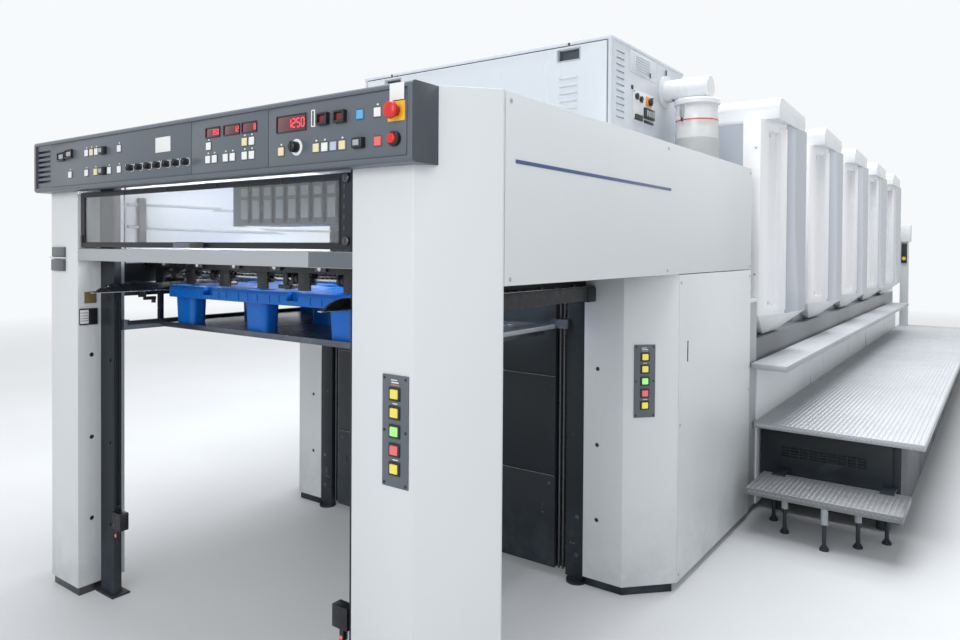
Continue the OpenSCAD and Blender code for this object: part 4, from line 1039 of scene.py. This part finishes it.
class PRESS_OT_filter(Fitter, bpy.types.Operator):
    """Models the clear filter canister with its cup, red line, lid and clamp"""

    bl_idname = "press.filter"
    bl_label = "Filter canister"

    slot = "cover_white"
    clamp_turn = -22.0
    # Turned parts are (name, profile, finish). Clamp parts are (name, heights, reach, width, finish).
    turned_parts = (
        ("filter_foot", [(0, 103), (3, 106.5), (13, 106.5), (19, 101), (20, 96)], "machine_grey"),
        ("filter_cup", [(17, 98), (22, 99.5), (124, 99.5), (128, 97)], "filter_dust"),
        ("filter_drum", [(124, 96), (130, 98.6), (288, 98.6), (292, 97)], "clear_jar"),
        ("filter_line", [(209, 97), (210, 99.6), (214.5, 99.6), (215.5, 97)], "signal_red"),
        ("filter_lid", [(286, 100), (289, 105.8), (306, 106), (312, 102), (313.6, 92), (313.8, 30)],
         "cover_white"))
    clamp_parts = (("filter_clamp_top", (284, 312), 112, 30, "cover_white"),
                   ("filter_clamp_lever", (222, 286), 108, 22, "machine_grey"),
                   ("filter_clamp_rod", (205, 258), 108, 9, "dark_steel"))

    def execute(self, context):
        low, high = low_of("filter_canister"), high_of("filter_canister")
        at = ((low.x + high.x) / 2, high.y - 107, low.z)
        for name, steps, material in self.turned_parts:
            stands_for = "filter_canister" if name == "filter_drum" else None
            self.fit(name, material, turned(at, UP, steps, 64), stands_for=stands_for)
        for name, (bottom, top), reach, width, material in self.clamp_parts:
            block = bar((-width / 2, -reach, bottom), (width / 2, -96, top), 2.5, 3)
            self.fit(name, material, *copies_at(block, [(at, self.clamp_turn)]))
        return {"FINISHED"}


# Columns, pile bay and pile


class PRESS_OT_columns(Fitter, bpy.types.Operator):
    """Adds the plates, the switch and the dark tooling holes of the delivery's columns"""

    bl_idname = "press.columns"
    bl_label = "Column fittings"

    slot = "cover_grey"

    def execute(self, context):
        for name, material, low, high, edge in (
                ("column_bracket", "end_grey", (-905, -9, 1275), (-809, 0.3, 1312), 2.5),
                ("column_ledge", "cover_grey", (-910, -15, 1269), (-804, 0.3, 1274), 1.2),
                ("column_switch", "switch_grey", (-905, -12, 1221), (-809, 0.3, 1265), 3),
                ("brown_plate", "brown_plate", (-720.3, 24, 1101), (-717, 68, 1144), 0.8),
                ("socket_box", "black_plastic", (-720.3, 5, 1020), (-715, 72, 1082), 1.2),
                ("socket_label", "bare_label", (-715.5, 7, 1026), (-714, 38, 1077), 0.3)):
            self.fit(name, material, bar(low, high, edge))
        end_plate = bar((553, -0.8, 1264.5), (719, 0.6, 1305.5), 0.6)
        self.fit("crossbar_end", "end_grey", end_plate, slot="machine_grey")
        line = bar((-714.4, 9, -1), (-713.5, 36, 1), 0)
        self.fit("socket_label_lines", "dark_steel", *copies(line, grid(z=(1036, 1045, 1055, 1066))))
        self.tooling_holes()
        self.sensor_lamps()
        return {"FINISHED"}

    def tooling_holes(self):
        profile = [(0, 8.4), (2.2, 8.4), (2.6, 7)]
        plugs = []
        for side in SIDES:
            plug = turned((side * 724, 52, 0), (-side, 0, 0), profile, 20)
            plugs += copies(plug, grid(z=(285, 594, 906)))
            plug = turned((side * 808, 1226, 0), FORWARD, profile, 20)
            plugs += copies(plug, grid(z=(268, 560, 855)))
        self.fit("tooling_holes", "black_plastic", *plugs)

    def sensor_lamps(self):
        x, slot = 601, "charcoal_metal"
        lamps = [bar((side * x - 8, 80, 226), (side * x + 8, 98, 260), 1.5) for side in SIDES]
        self.fit("sensor_lamps", "black_plastic", *lamps, slot=slot)
        lens = turned((0, 80.5, 236), FORWARD, [(0, 5.5), (2, 5.5), (3.2, 3)], 18)
        self.fit("sensor_lenses", "lit_red", *copies(lens, grid((-x, x))), slot=slot)


class PRESS_OT_bay(Fitter, bpy.types.Operator):
    """Adds liners, rods, collars, chains, bright edges and wear points in the pile bay"""

    bl_idname = "press.bay"
    bl_label = "Pile bay"

    def execute(self, context):
        self.liners()
        self.blower()
        self.wall()
        self.rods()
        self.stop_beam()
        self.edges()
        return {"FINISHED"}

    def liners(self):
        """White sheets and chain guides inside the side frames, over the pile."""
        inside = 1 - BAY_X
        liner = bar((inside - 1.4, 184, 1250), (inside + 0.4, 1250, 1688), 0.4)
        self.fit_pair("inner_liners", "flange_white", liner)
        guides = [bar((inside, 190, z), (inside + 13, 1248, z + 10), 2) for z in (1392, 1470)]
        self.fit_pair("inner_guides", "machine_grey", *guides)
        self.fit_pair("inner_struts", "charcoal_metal", bar((inside, 232, 1330), (inside + 17, 262, 1500), 2))

    def blower(self):
        """The mouths of the fans behind the window, with a rib after each."""
        fans, pitch = 12, 62
        low, high = low_of("fan_housing"), high_of("fan_housing")
        mouth = [tile((0, low.y + 0.4, low.z + 52), (34, 62), 5, 2),
                 tile((0, low.y + 0.4, low.z + 108), (34, 26), 5, 2)]
        across = [low.x + 66 + pitch * fan for fan in range(fans)]
        self.fit("blower_mouths", "machine_grey", *copies(join("mouth", mouth), grid(across)))
        rib = bar((-3, low.y - 9, low.z + 6), (3, low.y + 1, high.z - 12), 1)
        self.fit("blower_ribs", "oiled_black", *copies(rib, grid([x + pitch / 2 for x in across])))

    def wall(self):
        front = low_of("rear_wall").y
        near, far = front + 0.4, front + 2.4
        seams = [bar((-620, front - 1.0, z - 1.3), (620, front + 1, z), 0.3) for z in (404.5, 805.5)]
        self.fit("wall_seams", "machine_grey", *seams)
        # Black discs and tiles stand in for the wall's open holes and slots: painted shade.
        self.fit_pair("wall_holes", "black_plastic",
                      turned((606, near, 769), FORWARD, [(0, 5), (1, 5), (1.4, 3.5)], 16),
                      turned((702, far, 586), FORWARD, [(0, 7), (1, 7), (1.4, 5)], 18),
                      tile((568, near, 268), (13, 34), 1.2, 0.4),
                      tile((703, far, 178), (24, 42), 1.4, 0.4))
        self.fit_pair("wall_rings", "dark_steel",
                      turned((723, far, 261), FORWARD, [(0, 8.5), (1.4, 8), (1.6, 4)], 20),
                      turned((720, far, 109), FORWARD, [(0, 9), (1.4, 8.4), (1.6, 4)], 20),
                      turned((596, near, 371), FORWARD, [(0, 6), (1, 6), (1.4, 4)], 16),
                      tile((703, far, 153), (26, 6), 1.8, 0.6),
                      tile((568, near, 248), (13, 5), 1.6, 0.6))
        chains = [turned((x, front + 14, 34), UP, [(0, 5), (1150, 5)], 12) for x in (636, 654)]
        self.fit_pair("lift_chains", "dark_steel", *chains)

    def rods(self):
        self.fit("bay_rod", "brown_plate", turned((-700, 424, 1204), RIGHT, [(0, 12), (1400, 12)], 24))
        collar = turned((0, *STOP_ROD), RIGHT, [(-15, 13), (-14, 20), (-4, 20), (-3, 17), (3, 17), (4, 20),
                                               (14, 20), (15, 13)], 28)
        across = grid((-548, -454, -300, 160, 222, 377, 440))
        self.fit("bay_collars", "black_plastic", *copies(collar, across))
        clamp = [bar((-30, 282, 1178), (30, 322, 1192), 3), bar((-12, 288, 1190), (12, 316, 1236), 2.5),
                 turned((0, 302, 1175), UP, [(0, 12), (4, 12), (5, 9)], 20)]
        self.fit("bay_clamps", "black_plastic", *copies(join("clamp", clamp), grid((-227, 106))))

    def stop_beam(self):
        """Straps and nuts of the beam that carries the sheet stops, and the side guides' brackets."""
        strap = bar((-26, 250, 1240), (26, 262, 1262), 1.5)
        nut = turned((0, 251, 1250), FORWARD, [(0, 9), (5, 9), (6.5, 7)], 6)
        across = grid(range(-560, 541, 220))
        self.fit("beam_straps", "dark_steel", *copies(strap, across))
        self.fit("beam_nuts", "bright_steel", *copies(nut, across))
        self.fit_pair("guide_brackets", "black_plastic",
                      bar((606, 176, 1122), (618, 204, 1148), 1.5),
                      bar((606, 196, 1110), (618, 244, 1123), 1.5),
                      turned((612, 236, 1104), UP, [(-6, 8), (6, 8), (8, 6)], 18))

    def edges(self):
        lip = bar((595.5, low_of("pile_guides").y + 1, 1145.2), (612, 1150, 1148.2), 0.6)
        self.fit_pair("guide_lips", "bright_steel", lip)
        top = high_of("side_rails").z
        self.fit_pair("rail_tops", "bright_steel", bar((721, 181, top - 0.4), (797, 1140, top + 1.0), 0.4))
        bolt = turned((759, 0, top), UP, [(0, 8), (5, 8), (6, 6)], 6)
        self.fit_pair("rail_bolts", "dark_steel", *copies(bolt, grid(y=(240, 560, 880, 1120))))


class PRESS_OT_pile(Fitter, bpy.types.Operator):
    """Adds the strip and bands of the pile board and the ribs along the pallet's edge"""

    bl_idname = "press.pile"
    bl_label = "Pile"

    body = "pile"
    ribs = (-520, -455, -395, -345, -235, -190, -120, -68, -16, 50, 100, 255, 310, 370)

    def execute(self, context):
        board = high_of("pallet").z - 146
        self.fit("board_strip", "charcoal_metal", bar((-634, 132, board - 2), (-606, 1186, board + 12), 1.5))
        self.fit_pair("arm_bands", "machine_grey", bar((634, 124, board - 19), (635.4, 1190, board - 3), 0.4))
        front = low_of("pallet").y
        rib = bar((-3, front - 2.2, 1129), (3, front + 1, 1155), 0.8)
        self.fit("pallet_ribs", "blue_plastic", *copies(rib, grid(self.ribs)), slot="blue_plastic")
        return {"FINISHED"}


# Treads


class TreadSettings(bpy.types.PropertyGroup):
    """Pattern of the tread plate."""

    pitch: FloatProperty(name="Pitch", description="Distance between two lozenges", default=0.021, min=0.02,
                         max=0.06, unit="LENGTH")
    rise: FloatProperty(name="Rise", description="How far a lozenge stands out", default=0.0016, min=0.0005,
                        max=0.004, unit="LENGTH")


class PRESS_OT_treads(Fitter, bpy.types.Operator):
    """Raises the lozenges of the tread plate on the walkways and steps, on top and along the front edges"""

    bl_idname = "press.treads"
    bl_label = "Treads"

    slot = "tread_plate"
    # The two crossing families: turn in degrees, and shift in pitches.
    families = ((45, 0.0), (-45, 0.5))
    slimness = 0.34
    step_x = 1117
    step_top = 222
    step_depth = 318
    step_edge = 32

    def execute(self, context):
        settings = context.scene.press_tread
        self.rise, self.pitch = settings.rise, settings.pitch / MM
        for node in ("lower_walkways", "upper_walkways"):
            low, high = low_of(node), high_of(node)
            edge = PLATE_EDGE if node == "lower_walkways" else 0
            self.tread(node, "tread_worn", (COVER_X, high.x), (low.y, high.y), high.z, edge)
        # The steps' plate and lozenges are the tread metal at half its colour: painted shade.
        low, high = low_of("steps"), high_of("steps")
        self.tread("steps", "step_worn", (self.step_x, high.x), (low.y, low.y + self.step_depth),
                   self.step_top, self.step_edge)
        return {"FINISHED"}

    def tread(self, node, material, across, along, top, edge):
        """The lozenges of a node's two plates, with a row on the front edge if it is seen."""
        spans = [sorted((side * across[0], side * across[1])) for side in SIDES]
        fields = [self.field(span, along, top) for span in spans]
        if edge:
            fields += [self.fringe(span, along[0], top - edge / 2) for span in spans]
        self.fit(node + "_tread", material, *fields)

    def lozenges(self, turn, counts):
        """Lozenges turned by some degrees, counted along X and then Y."""
        piece = add(bpy.ops.mesh.primitive_cone_add, vertices=4, radius1=0.5 * self.pitch * MM, radius2=0,
                    depth=self.rise)
        bpy.ops.object.mode_set(mode="EDIT")
        select_faces(piece, lambda face: face.normal.z < -0.5)
        bpy.ops.mesh.delete(type="FACE")
        bpy.ops.object.mode_set(mode="OBJECT")
        piece.data.transform(Matrix.Translation((0, 0, 0.5 * self.rise)))
        narrow = Matrix.Diagonal((1.0, self.slimness, 1.0, 1.0))
        piece.data.transform(Matrix.Rotation(math.radians(turn), 4, "Z") @ narrow)
        for axis, count in enumerate(counts):
            apply_modifier(piece, "ARRAY", count=count, use_relative_offset=False, use_constant_offset=True,
                           constant_offset_displace=[self.pitch * MM * (part == axis) for part in range(3)])
        return piece

    def field(self, across, along, top):
        """Two crossing families of lozenges over a rectangle."""
        made = []
        for turn, shift in self.families:
            margin = 0.5 * self.pitch + shift * self.pitch
            counts = [int((end - start - self.pitch - shift * self.pitch) / self.pitch) + 1
                      for start, end in (across, along)]
            piece = self.lozenges(turn, counts)
            start = place(across[0] + margin, along[0] + margin, top - 0.05)
            piece.data.transform(Matrix.Translation(start))
            made.append(piece)
        return join("field", made)

    def fringe(self, across, front, middle):
        """One row of lozenges along a front edge."""
        made = []
        for turn, shift in self.families:
            count = int((across[1] - across[0] - 1.5 * self.pitch) / self.pitch) + 1
            piece = self.lozenges(turn, [count])
            start = place(across[0] + (0.6 + shift) * self.pitch, front + 0.05, middle + (shift - 0.25) * 6)
            piece.data.transform(Matrix.Translation(start) @ Matrix.Rotation(math.radians(90), 4, "X"))
            made.append(piece)
        return join("fringe", made)


# Screws and stripe


class PRESS_OT_trim(Fitter, bpy.types.Operator):
    """Adds the plain stripe and the screws of the covers and of the unit guards"""

    bl_idname = "press.trim"
    bl_label = "Screws and trim"

    slot = "cover_grey"

    def execute(self, context):
        stripe_x = COVER_X + 0.4
        stripes = [bar((side * stripe_x - 0.9, 228, 1535), (side * stripe_x + 0.9, 1286, 1545), 0.3)
                   for side in SIDES]
        self.fit("side_stripes", "stripe_blue", *stripes)
        self.first_unit = low_of("tower_1").y
        self.along_units = [UNIT_PITCH * unit for unit in range(UNITS)]
        self.cover_screws()
        self.guard_screws()
        return {"FINISHED"}

    def cover_screws(self):
        profile = [(0, 6), (1.4, 6), (2.2, 4)]
        made = []
        for side in SIDES:
            screw = turned((side * (COVER_X - 0.2), 0, 0), (side, 0, 0), profile, 18)
            places = grid(y=(206, 1260, 2318), z=(1240, 1690)) + grid(y=(1404, 2322), z=(60, 640, 1190))
            made += copies(screw, places)
            screw = turned((side * (COVER_X - 20), self.first_unit + 0.2, 1194), FORWARD, profile, 18)
            made += copies(screw, grid(y=self.along_units, z=(0, 640)))
        self.fit("cover_screws", "machine_grey", *made)

    def guard_screws(self):
        profile = [(-1, 9), (3, 9), (4.5, 6.5)]
        made = []
        for side in SIDES:
            screw = turned((side * 1078.1, self.first_unit + 152, 0), (side * 0.976, -0.216, 0), profile, 20)
            made += copies(screw, grid(y=self.along_units, z=(1046, 1911)))
        self.fit("guard_screws", "bright_steel", *made, slot="cover_white")


# Studio


class StudioSettings(bpy.types.PropertyGroup):
    """Camera and light of the studio."""

    lens: FloatProperty(name="Lens", description="Focal length on a 36 mm sensor", default=27.47, min=10,
                        max=100, unit="CAMERA")
    overhead: FloatProperty(name="Overhead light", description="Power of each lamp over the press",
                            default=330, min=0)
    front: FloatProperty(name="Front light", description="Power of the lamp before the delivery",
                         default=108, min=0)
    side: FloatProperty(name="Side light", description="Power of the lamp beside the long side",
                        default=13, min=0)
    bay: FloatProperty(name="Bay light", description="Power of the lamp inside the delivery",
                       default=40, min=0)
    sky: FloatProperty(name="Sky", description="Strength of the even light from all sides",
                       default=0.48, min=0)


class PRESS_OT_studio(bpy.types.Operator):
    """Adds the floor, the lamps and the camera"""

    bl_idname = "press.studio"
    bl_label = "Studio"

    eye = (2086.8, -1335.7, 1319.8)
    turn_left = 35.762
    tilt_down = 0.843
    roll = 0.3797
    frame_shift = -0.064
    backdrop = (0.96, 0.98, 1.0, 1)
    backdrop_strength = 0.97
    fade_from_to = (3.0, 12.5)

    def execute(self, context):
        settings = context.scene.press_studio
        self.floor()
        self.world(context, settings.sky)
        self.lamp("side", (5200, 1800, 2300), (1000, 2200, 900), (3.5, 2.5), settings.side)
        self.lamp("bay", (700, 760, 1590), (-720, 640, 1440), (0.9, 0.25), settings.bay)
        for along in (900, 4200, 7600):
            self.lamp("overhead", (0, along, 6500), (0, along, 0), (6.0, 2.6), settings.overhead)
        self.lamp("front", (1500, -4200, 2600), (0, 600, 900), (3.5, 2.5), settings.front)
        self.camera(context, settings.lens)
        context.scene.view_settings.view_transform = "Standard"
        return {"FINISHED"}

    def floor(self):
        floor = add(bpy.ops.mesh.primitive_plane_add, size=90, location=(0, 0, 0))
        floor.name = "floor"
        recipe = Recipe("floor", (0.58, 0.60, 0.62), 0.55)
        recipe.stain(recipe.noise(0.8, 5.0), 0.4, 0.8, 0.3, (0.44, 0.46, 0.48))
        recipe.bump(recipe.noise(60, 3.0), 0.1, 0.001)
        self.fade(recipe)
        floor.data.materials.append(recipe.material)

    def fade(self, recipe):
        """Lets the floor pass into the backdrop far from the press."""
        reach = recipe.node("VectorMath", operation="LENGTH")
        recipe.link(recipe.coords, reach.inputs[0])
        glow = recipe.node("Emission")
        glow.inputs["Color"].default_value = self.backdrop
        glow.inputs["Strength"].default_value = self.backdrop_strength
        blend = recipe.node("MixShader")
        recipe.link(recipe.spread(reach.outputs["Value"], *self.fade_from_to), blend.inputs[0])
        recipe.link(recipe.shader.outputs[0], blend.inputs[1])
        recipe.link(glow.outputs[0], blend.inputs[2])
        recipe.link(blend.outputs[0], recipe.tree.nodes["Material Output"].inputs["Surface"])

    def world(self, context, strength):
        """Even light, and a backdrop where the camera, a shiny face or a clear sheet sees it."""
        world = bpy.data.worlds.new("studio")
        world.use_nodes = True
        nodes, links = world.node_tree.nodes, world.node_tree.links
        path = nodes.new("ShaderNodeLightPath")
        seen = path.outputs["Is Camera Ray"]
        for ray in ("Is Glossy Ray", "Is Transmission Ray"):
            either = nodes.new("ShaderNodeMath")
            either.operation = "MAXIMUM"
            links.new(seen, either.inputs[0])
            links.new(path.outputs[ray], either.inputs[1])
            seen = either.outputs["Value"]
        mix = nodes.new("ShaderNodeMix")
        mix.inputs["A"].default_value = strength
        mix.inputs["B"].default_value = self.backdrop_strength
        links.new(seen, mix.inputs["Factor"])
        nodes["Background"].inputs["Color"].default_value = self.backdrop
        links.new(mix.outputs["Result"], nodes["Background"].inputs["Strength"])
        context.scene.world = world

    def lamp(self, name, at, towards, size, power):
        bpy.ops.object.light_add(type="AREA", location=place(*at))
        lamp = bpy.context.active_object
        lamp.name = name
        lamp.data.shape = "RECTANGLE"
        lamp.data.size, lamp.data.size_y = size
        lamp.data.energy = power
        lamp.rotation_euler = (place(*towards) - lamp.location).to_track_quat("-Z", "Y").to_euler()

    def camera(self, context, lens):
        bpy.ops.object.camera_add(location=place(*self.eye))
        camera = context.active_object
        ahead = Euler((math.radians(90 - self.tilt_down), 0, math.radians(self.turn_left))).to_quaternion()
        camera.rotation_mode = "QUATERNION"
        camera.rotation_quaternion = ahead @ Euler((0, 0, math.radians(self.roll))).to_quaternion()
        camera.data.lens = lens
        camera.data.sensor_width = 36
        camera.data.shift_y = self.frame_shift
        camera.data.clip_end = 200
        context.scene.camera = camera


OPERATORS = (PRESS_OT_studio, PRESS_OT_paints, PRESS_OT_covers, PRESS_OT_console, PRESS_OT_buttons,
             PRESS_OT_guard, PRESS_OT_cabinet, PRESS_OT_filter, PRESS_OT_columns, PRESS_OT_bay,
             PRESS_OT_pile, PRESS_OT_treads, PRESS_OT_trim)


class PRESS_PT_panel(bpy.types.Panel):
    """Lists the steps that finish the press"""

    bl_idname = "PRESS_PT_panel"
    bl_label = "Press"
    bl_space_type = "VIEW_3D"
    bl_region_type = "UI"
    bl_category = "Press"

    def draw(self, context):
        for operator in OPERATORS:
            self.layout.operator(operator.bl_idname)


SETTINGS = {"press_paint": PaintSettings, "press_console": ConsoleSettings, "press_button": ButtonSettings,
            "press_tread": TreadSettings, "press_studio": StudioSettings}
CLASSES = (*SETTINGS.values(), *OPERATORS, PRESS_PT_panel)


def register():
    for cls in CLASSES:
        bpy.utils.register_class(cls)
    for name, group in SETTINGS.items():
        setattr(bpy.types.Scene, name, PointerProperty(type=group))


def unregister():
    for name in SETTINGS:
        delattr(bpy.types.Scene, name)
    for cls in reversed(CLASSES):
        bpy.utils.unregister_class(cls)


def main():
    register()
    bpy.ops.press.studio()
    bpy.ops.press.paints()
    bpy.ops.press.covers()
    bpy.ops.press.console()
    bpy.ops.press.buttons()
    bpy.ops.press.guard()
    bpy.ops.press.cabinet()
    bpy.ops.press.filter()
    bpy.ops.press.columns()
    bpy.ops.press.bay()
    bpy.ops.press.pile()
    bpy.ops.press.treads()
    bpy.ops.press.trim()


if __name__ == "__main__":
    main()
